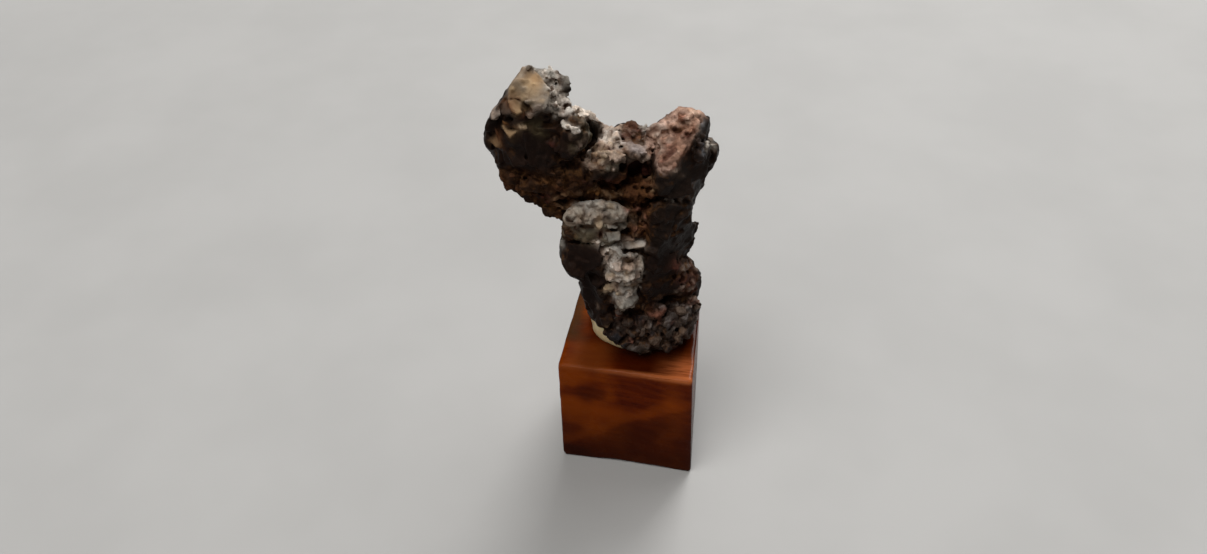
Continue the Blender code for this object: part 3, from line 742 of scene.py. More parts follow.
    # ---------------- knob
    f.crumbs([(590, 150), (602, 130), (622, 127), (626, 155), (621, 170), (590, 171)], 40, 0.3, 0.6, PINK,
             ('pinkbeige', 'greypink', 'gbrown', 'gbrown'), 74, sink=0.55, round_=0.3)
    K(607, 156, (2.4, 1.2, 1.1), PINK, 'gbrown', 0.25, k=0.3)
    K(600, 163, (1.6, 1.0, 0.9), PINK, 'gbrown', 0.1, k=0.3)
    F([(603, 134), (610, 130), (619, 131), (620, 138), (624, 145), (612, 148), (603, 143)], -95, 64, PINK,
      'snow', 0.75, sink=3)
    F([(604, 130), (612, 126), (621, 128), (619, 132), (609, 133)], -80, 40, PINK, 'pinkbeige', 0.3)
    F([(603, 140), (609, 147), (599, 152), (592, 150)], -150, 42, PINK, 'pinkbeige', 0.4)
    F([(595, 151), (606, 151), (607, 157), (598, 157)], -95, 62, PINK, 'beige', 0.8)
    F([(607, 150), (618, 149), (625, 155), (619, 161), (609, 159)], -85, 62, PINK, 'pinkbeige', 0.8, sink=2.5)
    F([(584, 158), (589, 150), (594, 154), (593, 165), (586, 168)], -130, 52, PINK, 'pinkwhite', 0.6)
    F([(588, 162), (597, 162), (599, 169), (590, 170)], -90, 66, PINK, 'pinkwhite', 0.8)
    F([(598, 160), (603, 161), (604, 169), (598, 168)], -60, 20, GBROWN, 'ochre', 0.4)
    F([(603, 159), (612, 161), (611, 172), (604, 171)], -95, 18, BALL, 'olive', 0.45)
    F([(611, 161), (620, 160), (621, 171), (612, 173)], -78, 18, BALL, 'olive', 0.4)
    f.crumbs([(592, 152), (625, 150), (621, 160), (590, 168)], 16, 0.18, 0.42, PINK,
             ('pinkwhite', 'pinkbeige', 'greypink', 'beige'), 75, sink=0.5, round_=0.3)
    L([(593, 149.5), (601, 148.5), (610, 149)], 0.3, DARK, 'red', 0.0, '-')
    L([(597, 158.5), (606, 158.5)], 0.24, DARK, 'brown', 0.0, '-')
    f.crumbs([(590, 152), (603, 132), (620, 130), (626, 150), (620, 162), (590, 168)], 70, 0.14, 0.36, PINK,
             ('pinkwhite', 'snow', 'pinkbeige', 'gbrown', 'brown', 'beige'), 88, sink=0.5, round_=0.05, k=0.06)
    C(618, 153, (0.8, 0.6, 0.7), 'gbrown')
    C(619, 132, (0.7, 0.5, 0.7), 'gbrown')
    C(622.5, 137, (0.45, 0.9, 0.6), 'red', turn=-15)
    C(621, 152, (0.5, 0.6, 0.6), 'tanbrown')
    for u, v, r in ((587, 168, 0.28), (606, 168, 0.25), (613, 163, 0.3), (617, 166, 0.25), (614, 170, 0.22)):
        K(u, v, r, LGRAY, 'grey', 0.15)
    # ---------------- second lump
    # painted shadow: dark under the knob's overhang
    f.region([(580, 171), (600, 174), (624, 172), (640, 176), (624, 181), (596, 181)], 'dark', DARK, ragged=1.2)
    f.region([(598, 181), (640, 179), (640, 190), (600, 190)], 'maroon', OCHRE, ragged=2, seed=13)
    f.crumbs([(624, 129), (640, 127), (653, 135), (655, 150), (628, 152)], 36, 0.22, 0.5, GBROWN,
             ('gbrown', 'brown', 'gbrown', 'umber'), 76, sink=0.65, round_=0.1, k=0.06)
    F([(623, 124), (627, 121), (638, 122), (640, 134), (628, 137)], -82, 60, GBROWN, 'brown', 0.2)
    F([(627, 136), (641, 133), (650, 141), (640, 146), (629, 144)], -75, 40, GBROWN, 'gbrown', 0.3)
    F([(624, 143), (640, 145), (652, 146), (646, 154), (633, 153)], -92, 62, GBROWN, 'lilac', 0.7)
    F([(640, 135), (651, 137), (655, 150), (647, 150)], -60, 55, GBROWN, 'greypink', 0.2)
    for p in (((627, 125), (638, 137)), ((631, 123), (644, 136)), ((626, 131), (634, 141)), ((636, 126), (646, 138))):
        L(p, 0.14, GBROWN, 'red', -0.02, '-')
    for u, v, r in ((643, 128, 0.35), (646.5, 126, 0.3), (648, 130, 0.38), (651.5, 127, 0.33), (645, 131, 0.3),
                    (654, 126, 0.3)):
        K(u, v, r, LGRAY, 'white', 0.1)
    H(636, 165, (2.4, 1.5, 1.6), 'maroon', out=-0.2)
    H(623, 166, (0.8, 1.2, 1.2), 'black')
    K(648, 157, (0.6, 0.5, 0.5), GBROWN, 'greypink', 0.2)
    # ---------------- right horn
    f.region([(646, 131), (655, 124), (664, 117), (677, 106), (692, 105), (705, 112), (702, 122), (698, 137),
              (686, 150), (679, 160), (675, 170), (668, 174), (660, 173), (655, 162), (648, 152)], 'pink', PINK)
    F([(657, 131), (666, 121), (679, 117), (690, 120), (684, 130), (668, 133)], -95, 62, PINK, 'pinkwhite', 0.0,
      rnd=0.6, k=0.5)
    F([(676, 110), (690, 108), (702, 113), (697, 119), (682, 117)], -80, 66, PINK, 'pinkwhite', 0.05, rnd=0.6, k=0.5)
    F([(657, 137), (668, 134), (676, 141), (672, 152), (659, 152)], -100, 55, PINK, 'pinkwhite', 0.05, rnd=0.6, k=0.5)
    F([(678, 136), (693, 131), (694, 140), (684, 149), (675, 149)], -70, 52, PINK, 'pink', 0.05, rnd=0.6, k=0.5)
    F([(660, 162), (673, 160), (676, 167), (668, 173), (661, 172)], -95, 50, PINK, 'pink', 0.25, rnd=0.5, k=0.4)
    f.region([(668, 125), (700, 121), (697, 137), (685, 150), (676, 164), (660, 165), (656, 152), (672, 146)],
             'pinkmid', PINK, ragged=4.5, seed=7)
    C(665, 140, (1.2, 1.4, 0.8), 'pink')
    C(668, 159, (1.7, 0.8, 0.8), 'pinkred', turn=-10)
    C(675, 155, (0.8, 0.6, 0.8), 'pinkred', turn=-40)
    C(682, 126, (1.2, 0.35, 0.8), 'pinkred', turn=0)
    f.crumbs([(652, 130), (664, 118), (678, 107), (702, 112), (697, 136), (680, 158), (674, 171), (661, 172),
              (655, 156)], 80, 0.22, 0.6, PINK, ('pink', 'pinkwhite', 'pinkmid', 'pinkmid', 'pinkred'), 71, sink=0.6)
    C(668, 155, (1.25, 0.75, 0.9), 'red', turn=-20)
    C(674, 148, (0.7, 0.4, 0.8), 'pinkred', turn=-40)
    H(677, 131, (0.8, 0.33, 0.6), 'maroon', turn=0)
    H(687, 134, (0.45, 0.4, 0.55), 'maroon')
    H(666, 160, (0.5, 0.3, 0.4), 'red', turn=-20)
    H(694, 129, (0.3, 0.9, 0.3), 'pinkred', turn=-12)
    F([(700, 113), (706, 116), (704, 127), (700, 126)], -40, 50, SLATE, 'bluegrey', 0.15)
    F([(701, 125), (706, 119), (712, 121), (708, 140), (701, 160), (691, 150)], -25, 14, SLATE, 'slate', 0.15, sink=1.0, k=0.6)
    F([(686, 150), (700, 146), (713, 152), (706, 180), (690, 184), (676, 170)], -62, 10, SLATE, 'slate', 0.2, sink=1.0, k=0.6)
    f.crumbs([(693, 138), (704, 134), (709, 148), (704, 164), (695, 162)], 22, 0.4, 0.85, SLATE, ('slate', 'dark', 'slate'), 99,
             sink=0.6, round_=0.1, k=0.2)
    F([(664, 178), (688, 171), (696, 194), (668, 200)], -78, 22, SLATE, 'slate', 0.15, sink=1.0, k=0.5)
    C(703, 150, (0.8, 1.4, 1.0), 'bluegrey', turn=-10)
    for u, v, r in ((706, 142, 0.35), (709, 140, 0.4), (712.5, 142, 0.35), (707, 147, 0.4), (711, 146, 0.4),
                    (714.5, 145, 0.3)):
        K(u, v, r, LGRAY, 'white', 0.1)
    H(709, 143.5, (0.4, 0.2, 0.4), 'dark')
    L([(664, 199), (672, 200.5)], 0.28, LGRAY, 'white', 0.1)
    L([(672, 200.5), (690, 197)], 0.12, LGRAY, 'greypink', 0.0)
    L([(676, 177), (690, 175)], 0.12, SLATE, 'gbrown', 0.0)
    # ---------------- middle band
    # dark goethite under the head, its tint also painted shade under the overhang
    f.region([(492, 150), (560, 160), (584, 172), (560, 176), (510, 172), (497, 166)], 'dark', DARK, ragged=3)
    K(600, 194, (3.6, 1.5, 1.6), OCHRE, 'ochre', 0.0, k=0.9)
    K(634, 190, (3.0, 1.9, 1.6), OCHRE, 'tanbrown', 0.0, k=0.9, turn=-20)
    K(540, 184, (3.4, 1.0, 1.2), OCHRE, 'umber', 0.0, k=0.9, turn=-8)
    f.region([(500, 166), (562, 172), (585, 186), (560, 192), (520, 190), (503, 182)], 'umber', OCHRE, ragged=4, seed=15)
    f.crumbs([(503, 172), (560, 174), (600, 184), (600, 203), (560, 208), (520, 194)], 110,
             0.2, 0.6, OCHRE, ('umber', 'dark', 'brown', 'maroon', 'dark'), 77, sink=0.6, round_=0.6, k=0.15)
    f.crumbs([(588, 188), (655, 178), (655, 200), (590, 203)], 60, 0.22, 0.6, OCHRE, ('tanbrown', 'ochre', 'brown',
             'gbrown', 'maroon'), 78, sink=0.5, round_=0.5)
    # tan brown and tan earth on the ledge, painted lighter for the light it catches under the knob: partly its own
    # colour, partly painted light
    f.region([(585, 189), (624, 189), (624, 199), (585, 201)], 'tanbrown', OCHRE, ragged=3.5, seed=9)
    f.region([(628, 181), (655, 176), (656, 198), (632, 203)], 'tan', OCHRE, ragged=3.5, seed=11)
    f.crumbs([(628, 180), (655, 176), (656, 200), (632, 203)], 26, 0.25, 0.6, OCHRE, ('tanbrown', 'tan', 'brown', 'beige'), 86,
             sink=0.35, round_=0.4)
    C(545, 182, (1.6, 0.5, 0.9), 'rust', turn=-8)
    C(530, 191, (1.4, 0.5, 0.9), 'rust', turn=-6)
    C(556, 189, (1.6, 0.5, 0.9), 'brown', turn=-6)
    C(600, 193, (2.6, 0.8, 0.9), 'ochre', turn=-4)
    C(580, 196, (1.8, 0.5, 0.9), 'tanbrown', turn=-4)
    C(622, 184, (1.6, 0.7, 0.9), 'maroon', turn=-4)
    K(567, 192, (0.45, 0.85, 0.4), OCHRE, 'tanbrown', 0.1, turn=20)
    K(554, 198, (0.8, 0.45, 0.4), OCHRE, 'tanbrown', 0.1)
    H(564, 201, (0.9, 0.4, 0.6), 'black', turn=12)
    L([(556, 203), (563, 207), (571, 210)], 0.35, OCHRE, 'tanbrown', 0.1)
    K(650, 179, (0.9, 0.5, 0.5), OCHRE, 'tanbrown', 0.15, turn=-20)
    K(656, 185, (0.6, 0.5, 0.4), OCHRE, 'tanbrown', 0.1)
    K(643, 184, (0.7, 0.5, 0.5), OCHRE, 'tanbrown', 0.15, turn=-20)
    K(636, 193, (1.0, 0.5, 0.5), OCHRE, 'tanbrown', 0.15, turn=-30)
    K(643, 200, (0.6, 0.35, 0.4), OCHRE, 'beige', 0.1)
    H(641, 196, (0.7, 0.35, 0.4), 'brown')
    # ---------------- centre ball, a cobble of small rounded crystals
    f.region([(620, 176), (655, 178), (650, 205), (648, 236), (634, 236), (624, 204)], 'brown', OCHRE, ragged=2)
    K(589, 212, (3.6, 1.9, 2.0), BALL, 'ball', 0.1, k=0.35)
    K(611, 213, (2.6, 2.0, 1.8), BALL, 'ball', 0.1, k=0.35)
    K(572, 217, (1.5, 1.7, 1.4), BALL, 'ball', 0.0, k=0.25)
    K(597, 204, (3.4, 0.7, 1.2), BALL, 'white', 0.0, k=0.3, turn=4)
    f.crumbs([(565, 208), (580, 201), (612, 201), (626, 212), (624, 228), (606, 232), (584, 230), (568, 228)], 80,
             0.2, 0.45, BALL, ('ball', 'white', 'ball', 'beige', 'pinkbeige', 'greypink', 'grey'), 79, sink=0.78, round_=0.3, k=0.08)
    F([(596, 211), (604, 211), (603, 228), (599, 232), (595, 226)], -88, 44, BALL, 'beige', 0.2)
    F([(584, 218), (594, 217), (593, 225), (585, 225)], -112, 48, BALL, 'grey', 0.35)
    F([(605, 222), (619, 221), (619, 228), (607, 229)], -72, 48, BALL, 'grey', 0.35)
    F([(606, 232), (620, 230), (621, 240), (608, 243)], -80, 38, BALL, 'grey', 0.35)
    F([(584, 230), (595, 229), (598, 238), (587, 241)], -102, 22, BALL, 'olive', 0.3)
    for u, v, r, c in ((569, 219, 0.7, 'ball'), (578, 222, 0.6, 'greypink'), (584, 210, 0.5, 'white'),
                       (602, 207, 0.6, 'ball'), (607, 214, 0.6, 'white'), (616, 219, 0.5, 'white'),
                       (592, 219, 0.4, 'bluegrey'), (576, 208, 0.5, 'ball'), (590, 203, 0.5, 'white')):
        K(u, v, (r * 1.2, r, r), BALL, c, -0.1, k=0.1)
    C(590, 208, (1.3, 0.8, 1.0), 'white')
    C(599, 220, (0.45, 1.1, 0.9), 'beige')
    L([(583, 227), (593, 227)], 0.26, DARK, 'dark', 0.0, '-')
    L([(604, 220), (614, 219.5)], 0.2, DARK, 'dark', 0.0, '-')
    L([(606, 231), (618, 228.5)], 0.24, DARK, 'dark', 0.0, '-')
    L([(583, 204), (584, 215), (582, 222)], 0.2, BALL, 'gbrown', 0.0, '-')
    L([(604, 209), (605, 218)], 0.18, BALL, 'gbrown', 0.0, '-')
    H(601, 237, (0.45, 1.0, 0.9), 'maroon')
    for u, v, r in ((594, 241, 0.32), (598, 242.5, 0.26), (602, 244, 0.3)):
        K(u, v, r, LGRAY, 'snow', 0.2)
    for u, v, r in ((567, 228, 0.7), (572, 233, 0.8), (577, 227, 0.6), (568, 222, 0.6), (566, 236, 0.7)):
        K(u, v, r, GBROWN, 'umber', -0.1)
    K(578, 237, (0.7, 0.5, 0.6), GBROWN, 'olive', 0.1, turn=-30)
    H(625, 231, (0.9, 0.7, 1.0), 'black')
    L([(615, 224), (624, 223)], 0.22, DARK, 'dark', 0.0, '-')
    K(622, 226.5, (0.5, 0.3, 0.4), LGRAY, 'grey', 0.15)
    K(628, 212, (1.2, 1.5, 1.0), GBROWN, 'tanbrown', -0.15, k=0.25)
    K(637, 229, (1.2, 1.4, 1.0), GBROWN, 'pinkred', 0.0, k=0.25)
    K(634, 221, (0.8, 0.7, 0.7), GBROWN, 'pinkred', 0.0, k=0.2)
    C(644, 232, (0.5, 1.6, 0.9), 'ochre', turn=-6)
    f.crumbs([(622, 203), (640, 200), (648, 216), (646, 236), (628, 236)], 34, 0.25, 0.65, GBROWN,
             ('tanbrown', 'pinkred', 'gbrown', 'brown', 'ochre'), 80, sink=0.5, round_=0.4)
    # ---------------- ledge and wedge
    F([(620, 237), (634, 235), (636, 240), (622, 242)], -90, 54, LGRAY, 'pinkbeige', 0.35)
    F([(621, 241), (640, 239), (649, 242), (645, 247), (627, 250), (621, 246)], -86, 56, TAN, 'snow', 0.75, sink=2, flare=1.1)
    L([(624, 252), (638, 251.5)], 0.4, DARK, 'black', 0.0, '-')
    # ---------------- column
    f.crumbs([(602, 246), (622, 247), (641, 256), (643, 280), (636, 300), (612, 300), (606, 270)], 50, 0.25, 0.6,
             LGRAY, ('snow', 'pinkwhite', 'snow', 'beige', 'white'), 81, sink=0.5, round_=0.15)
    F([(603, 247), (612, 245), (622, 248), (621, 255), (607, 256)], -98, 54, PINK, 'snow', 0.3, sink=2, k=0.2, flare=1.12)
    F([(599, 247), (606, 245), (609, 251), (605, 256), (600, 254)], -118, 52, LGRAY, 'pinkwhite', 0.25, k=0.15, flare=1.12)
    K(616, 248, (1.0, 0.7, 0.8), LGRAY, 'snow', 0.3, k=0.1)
    K(607, 257, (0.8, 0.6, 0.7), LGRAY, 'pinkwhite', 0.2, k=0.1)
    K(620, 253, (0.6, 0.5, 0.6), LGRAY, 'white', 0.2, k=0.1)
    F([(605, 260), (611, 256), (621, 257), (623, 263), (620, 269), (611, 269)], -106, 52, PINK, 'snow', 0.4, sink=2, k=0.15, flare=1.12)
    F([(612, 263), (622, 262), (622, 270), (614, 271)], -84, 44, PINK, 'pinkwhite', 0.3, flare=1.12)
    F([(621, 257), (629, 258), (634, 265), (628, 270), (621, 270)], -68, 48, PINK, 'pinkwhite', 0.4, sink=2, k=0.15, flare=1.12)
    L([(622, 255), (632, 254.5), (641, 258)], 0.34, LGRAY, 'white', 0.3)
    L([(625, 260.5), (634, 262)], 0.26, DARK, 'dark', 0.0, '-')
    L([(641, 259), (643, 268), (641, 279)], 0.28, LGRAY, 'grey', 0.25)
    F([(607, 272), (616, 270), (624, 273), (621, 281), (611, 281)], -108, 46, LGRAY, 'snow', 0.3, k=0.15, flare=1.12)
    F([(622, 271), (634, 269), (635, 276), (628, 282), (622, 280)], -76, 50, LGRAY, 'snow', 0.3, k=0.15, flare=1.12)
    F([(628, 268), (641, 266), (640, 277), (632, 282)], -65, 44, LGRAY, 'greypink', 0.25, flare=1.12)
    K(611, 277, (0.7, 0.8, 0.6), LGRAY, 'beige', 0.1, k=0.1)
    K(620, 274, (1.1, 0.7, 0.8), LGRAY, 'snow', -0.05, k=0.15)
    # snow white on the column's top, lighter than its own colour where the ball shades it: painted light
    C(610, 251, (1.0, 0.8, 0.9), 'snow')
    C(628, 262, (0.8, 0.6, 0.8), 'tanbrown')
    H(637, 277, (0.5, 0.7, 0.5), 'brown')
    F([(603, 285), (621, 281), (625, 283), (613, 290), (604, 291)], -98, 52, LGRAY, 'beige', 0.4, flare=1.12)
    L([(610, 280), (621, 280.5)], 0.2, DARK, 'brown', 0.05, '-')
    F([(601, 290), (613, 289), (618, 305), (606, 304)], -145, 22, DARK, 'umber', 0.3, flare=1.12)
    F([(612, 288), (624, 285), (625, 308), (621, 310), (615, 304)], -110, 42, BALL, 'grey', 0.4, flare=1.12)
    F([(622, 285), (635, 283), (638, 298), (632, 306), (624, 309)], -70, 44, BALL, 'grey', 0.4, flare=1.12)
    for u, v in ((635, 287), (638, 291), (635, 294), (638, 297)):
        H(u, v, 0.26, 'dark')
    f.crumbs([(664, 306), (690, 300), (698, 318), (692, 332), (668, 330)], 26, 0.2, 0.45, CRUST,
             ('glint', 'ashen', 'glint', 'crust', 'gbrown'), 98, sink=0.45, round_=0.1, k=0.06)
    F([(597, 301), (602, 301), (601, 310), (597, 309)], -92, 45, LGRAY, 'gbrown', 0.3, flare=1.12)
    F([(611, 313), (617, 312), (617, 318), (612, 318)], -90, 50, LGRAY, 'glint', 0.3, flare=1.12)
    K(607, 325, (0.5, 0.5, 0.4), GBROWN, 'tanbrown', 0.1)
    f.crumbs([(603, 247), (622, 246), (641, 257), (641, 280), (634, 300), (616, 306), (606, 286)], 54, 0.16, 0.42, LGRAY,
             ('snow', 'snow', 'pinkwhite', 'pinkwhite', 'beige', 'white'), 82, sink=0.45, round_=0.1)
    f.crumbs([(606, 256), (640, 258), (638, 296), (612, 296)], 12, 0.14, 0.3, LGRAY, ('brown', 'gbrown'), 87, sink=0.0,
             op='-', round_=0.7)
    # ---------------- left flank
    F([(567, 243), (599, 245), (603, 262), (583, 277), (566, 264)], -108, 8, DARK, 'dark', 0.15)
    F([(581, 279), (603, 263), (606, 299), (592, 309), (583, 297)], -102, -2, DARK, 'dark', 0.15)
    K(562.5, 244, (0.5, 0.7, 0.5), LGRAY, 'grey', 0.0)
    # ---------------- right flank
    F([(646, 256), (676, 251), (680, 268), (660, 275), (646, 270)], -72, 8, DARK, 'dark', 0.2)
    F([(660, 276), (680, 266), (685, 289), (665, 288)], -62, 16, RED, 'red', 0.2)
    L([(681, 259), (684, 275), (687, 292)], 0.22, RED, 'greypink', 0.05)
    L([(676, 262), (678, 280), (682, 291)], 0.25, RED, 'red', 0.05)
    L([(687, 268), (690, 283), (692, 294)], 0.22, RED, 'greypink', 0.05)
    for u, v, r, c in ((689, 265, 0.6, 'greypink'), (695, 271, 0.6, 'greypink'), (697, 278, 0.8, 'crust'),
                       (692, 283, 0.8, 'gbrown'), (692, 299, 0.9, 'greypink'), (696, 305, 0.7, 'greypink')):
        K(u, v, r, RED, c, -0.1)
    H(672, 299, (2.9, 0.9, 1.6), 'black', turn=0)
    f.region([(648, 252), (678, 254), (700, 272), (700, 292), (650, 296), (642, 270)], 'dark', DARK, ragged=4, seed=3)
    f.region([(674, 256), (694, 268), (698, 292), (680, 292)], 'red', RED, ragged=4, seed=5)
    f.crumbs([(672, 256), (692, 262), (700, 280), (698, 306), (676, 296)], 34, 0.25, 0.6, RED,
             ('red', 'redcrust', 'gbrown', 'greypink', 'maroon'), 83, sink=0.5, round_=0.3)
    # ---------------- foot
    f.crumbs([(604, 330), (620, 312), (645, 300), (700, 302), (692, 330), (672, 350), (640, 353)], 80, 0.25, 0.7,
             CRUST, ('crust', 'gbrown', 'dark', 'redcrust', 'dark', 'blueblack', 'crust'), 84, sink=0.5, round_=0.1, k=0.05)
    f.crumbs([(604, 332), (622, 314), (645, 302), (698, 304), (690, 330), (670, 349), (640, 352)], 90, 0.16, 0.4,
             CRUST, ('crust', 'dark', 'gbrown', 'blueblack', 'glint', 'redcrust'), 90, sink=0.35, round_=0.1, k=0.05)
    f.crumbs([(668, 306), (694, 304), (690, 330), (676, 338), (666, 326)], 30, 0.18, 0.45, CRUST, ('glint', 'gbrown', 'glint', 'crust'),
             85, sink=0.45, round_=0.1)
    for u, v, r, c in ((650, 312, 0.9, 'redcrust'), (658, 314, 0.8, 'redcrust'), (664, 309, 0.6, 'redcrust'),
                       (672, 315, 0.9, 'crust'), (680, 311, 0.9, 'gbrown'), (686, 318, 0.7, 'gbrown'),
                       (676, 323, 0.8, 'crust'), (683, 330, 0.9, 'gbrown'), (668, 331, 1.0, 'crust'),
                       (655, 338, 1.1, 'gbrown'), (645, 345, 1.0, 'crust'), (662, 345, 1.0, 'crust'),
                       (615, 335, 1.2, 'blueblack'), (626, 341, 1.1, 'blueblack'), (635, 332, 1.1, 'crust'),
                       (640, 322, 0.9, 'crust'), (628, 322, 0.8, 'crust'), (620, 326, 0.8, 'crust')):
        K(u, v, (r * 1.15, r, r * 0.8), CRUST, c, -0.2)
    H(694, 314, (0.6, 0.5, 0.8), 'black')


# the outline of the whole stone as seen from the front
OUTLINE = [
    (524, 65), (540, 67), (552, 70), (560, 75), (568, 82), (570, 87), (566, 92), (568, 97), (572, 105), (580, 112),
    (592, 119), (600, 123), (608, 128), (614, 127), (622, 122), (630, 121), (638, 123), (645, 128), (650, 127),
    (656, 124), (664, 118), (672, 112), (678, 108), (688, 108), (698, 111), (703, 114), (709, 118), (710, 122),
    (707, 130), (704, 141), (708, 137), (712, 138), (715, 143), (718, 144), (719, 150), (716, 160), (711, 170),
    (706, 180), (701, 188), (698, 194), (694, 203), (692, 207), (691, 215), (692, 222), (697, 224), (697, 228),
    (694, 235), (696, 240), (692, 246), (688, 250), (684, 255), (688, 257), (692, 262), (696, 268), (700, 272),
    (701, 280), (699, 290), (697, 298), (699, 307), (698, 315), (695, 325), (692, 332), (688, 340), (680, 345),
    (672, 351), (656, 352), (648, 354), (640, 354), (633, 350), (626, 348), (618, 344), (611, 340), (606, 334),
    (603, 328), (598, 327), (593, 323), (590, 318), (587, 312), (585, 302), (581, 292), (580, 285), (579, 279),
    (571, 277), (566, 270), (562, 262), (560, 255), (559, 246), (561, 240), (562, 232), (563, 224), (563, 220),
    (557, 217), (549, 216), (541, 210), (535, 204), (527, 201), (520, 196), (512, 192), (505, 187), (503, 182),
    (499, 175), (497, 168), (494, 158), (488, 150), (484, 143), (484, 135), (487, 122), (492, 112), (498, 103),
    (503, 95), (511, 83), (518, 72)]


def fill_edges(f):
    """Brings the flanks out to that outline where the big forms fall short of it."""
    K = f.knob
    K(571, 258, (2.2, 3.4, 3.0), DARK, 'dark', -1.2, k=0.8)
    K(567, 248, (1.4, 2.2, 2.2), DARK, 'dark', -0.8, k=0.6)
    K(574, 270, (1.4, 1.6, 2.2), DARK, 'dark', -0.8, k=0.6)
    K(490, 136, (1.2, 2.4, 2.0), DARK, 'dark', -0.8, k=0.6)
    K(494, 116, (1.2, 2.0, 2.0), DARK, 'dark', -0.8, k=0.6)
    K(504, 180, (1.4, 1.6, 2.0), OCHRE, 'brown', -0.8, k=0.6)
    K(714, 155, (1.2, 2.4, 2.2), SLATE, 'slate', -0.8, k=0.5)
    K(583, 292, (0.9, 2.4, 2.0), DARK, 'dark', -0.6, k=0.6)
    K(614, 330, (1.8, 2.2, 2.0), CRUST, 'blueblack', -0.6, k=0.6)
    K(622, 338, (2.0, 2.0, 1.8), CRUST, 'blueblack', -0.6, k=0.6)
    K(636, 344, (2.4, 1.8, 1.8), CRUST, 'crust', -0.6, k=0.6)
    K(603, 320, (1.4, 1.8, 1.8), DARK, 'dark', -0.6, k=0.6)


# amount of fine relief for each zone, mm: rolling noise, broken facets, fine noise, grains
RELIEF = {DARK: (0.22, 0.18, 0.03, 0.05), TAN: (0.05, 0.03, 0.012, 0.02), LGRAY: (0.12, 0.22, 0.05, 0.18),
          PINK: (0.14, 0.22, 0.06, 0.22), BALL: (0.10, 0.12, 0.04, 0.14), OCHRE: (0.36, 0.25, 0.06, 0.26),
          CRUST: (0.30, 0.34, 0.05, 0.20), RED: (0.24, 0.26, 0.04, 0.18), GBROWN: (0.18, 0.26, 0.05, 0.22),
          SLATE: (0.18, 0.18, 0.03, 0.05)}


def scatter(f):
    """Small crystals, lumps and pits over the rough zones, seeded."""
    rng = np.random.default_rng(453)
    band = np.argwhere(np.abs(f.F) < f.h * 0.6)
    z = f.Z[tuple(band.T)]
    g = np.stack(np.gradient(f.F, f.h), -1)

    def place(zones, count, lo, hi, op='+', tint=None, sink=0.35, flat=0.8, round_=0.0, k=0.12, back=False):
        m = np.isin(z, zones)
        if back:
            m &= (f.lo[1] + band[:, 1] * f.h) > 2.0
        c = np.flatnonzero(m)
        for i in rng.choice(c, min(count, len(c)), replace=False):
            j = tuple(band[i])
            half = rng.uniform(lo, hi) * rng.uniform(flat, 1.25, 3)
            n = g[j] / (np.linalg.norm(g[j]) + 1e-6)
            p = f.P[j] - n * sink * half.min()
            tt = list(PALETTE)[f.T[j]] if tint is None else tint
            M = rot_m(rng.uniform(0, 360, 3))
            if rng.uniform() < round_:
                f.ell(p, half, zone=int(z[i]), k=k * 2, op=op, tint=tt, M=M)
            else:
                f.block(p, half, M, zone=int(z[i]), k=k, op=op, tint=tt)

    # the far side: big blocky crystals, most of them half buried
    place([DARK, SLATE, OCHRE, CRUST], 44, 1.4, 3.0, sink=0.88, tint='dark', flat=0.5, k=0.35, back=True)
    place([DARK, OCHRE, CRUST], 16, 1.2, 2.4, sink=0.85, tint='umber', flat=0.5, k=0.35, back=True)
    place([DARK, SLATE], 12, 0.8, 1.8, sink=0.8, tint='gbrown', flat=0.5, k=0.3, back=True)
    # larger blocky crystals grown through the dark faces
    place([DARK, SLATE], 70, 1.0, 2.3, sink=0.85, flat=0.55, k=0.2)
    place([OCHRE], 30, 0.9, 1.8, sink=0.8, tint='umber', flat=0.6, k=0.3)
    place([CRUST], 380, 0.5, 1.2, sink=0.62, round_=0.4, k=0.2)
    place([CRUST], 60, 0.4, 0.9, sink=0.2, tint='gbrown', round_=0.3)
    # small pits tinted black: painted shade in their depth
    place([CRUST], 30, 0.3, 0.6, op='-', tint='black', sink=0.3, round_=1.0)
    place([RED], 90, 0.4, 0.9, sink=0.5, round_=0.3)
    place([GBROWN], 110, 0.35, 0.8, sink=0.5, round_=0.3)
    place([OCHRE], 320, 0.5, 1.3, sink=0.55, round_=0.75, k=0.2)
    place([OCHRE], 60, 0.35, 0.8, sink=0.4, tint='brown', round_=0.5)
    place([LGRAY], 60, 0.3, 0.6, sink=0.45)
    place([DARK], 90, 0.6, 1.5, sink=0.75, flat=0.5)
    place([SLATE], 90, 0.6, 1.4, sink=0.75, flat=0.5)
    place([BALL], 40, 0.4, 0.8, sink=0.6, round_=0.4)
    place([PINK], 40, 0.3, 0.6, sink=0.6, round_=0.3)
    # small pits tinted black: painted shade in their depth
    place([OCHRE, DARK], 26, 0.35, 0.8, op='-', sink=0.2, tint='black', round_=1.0)


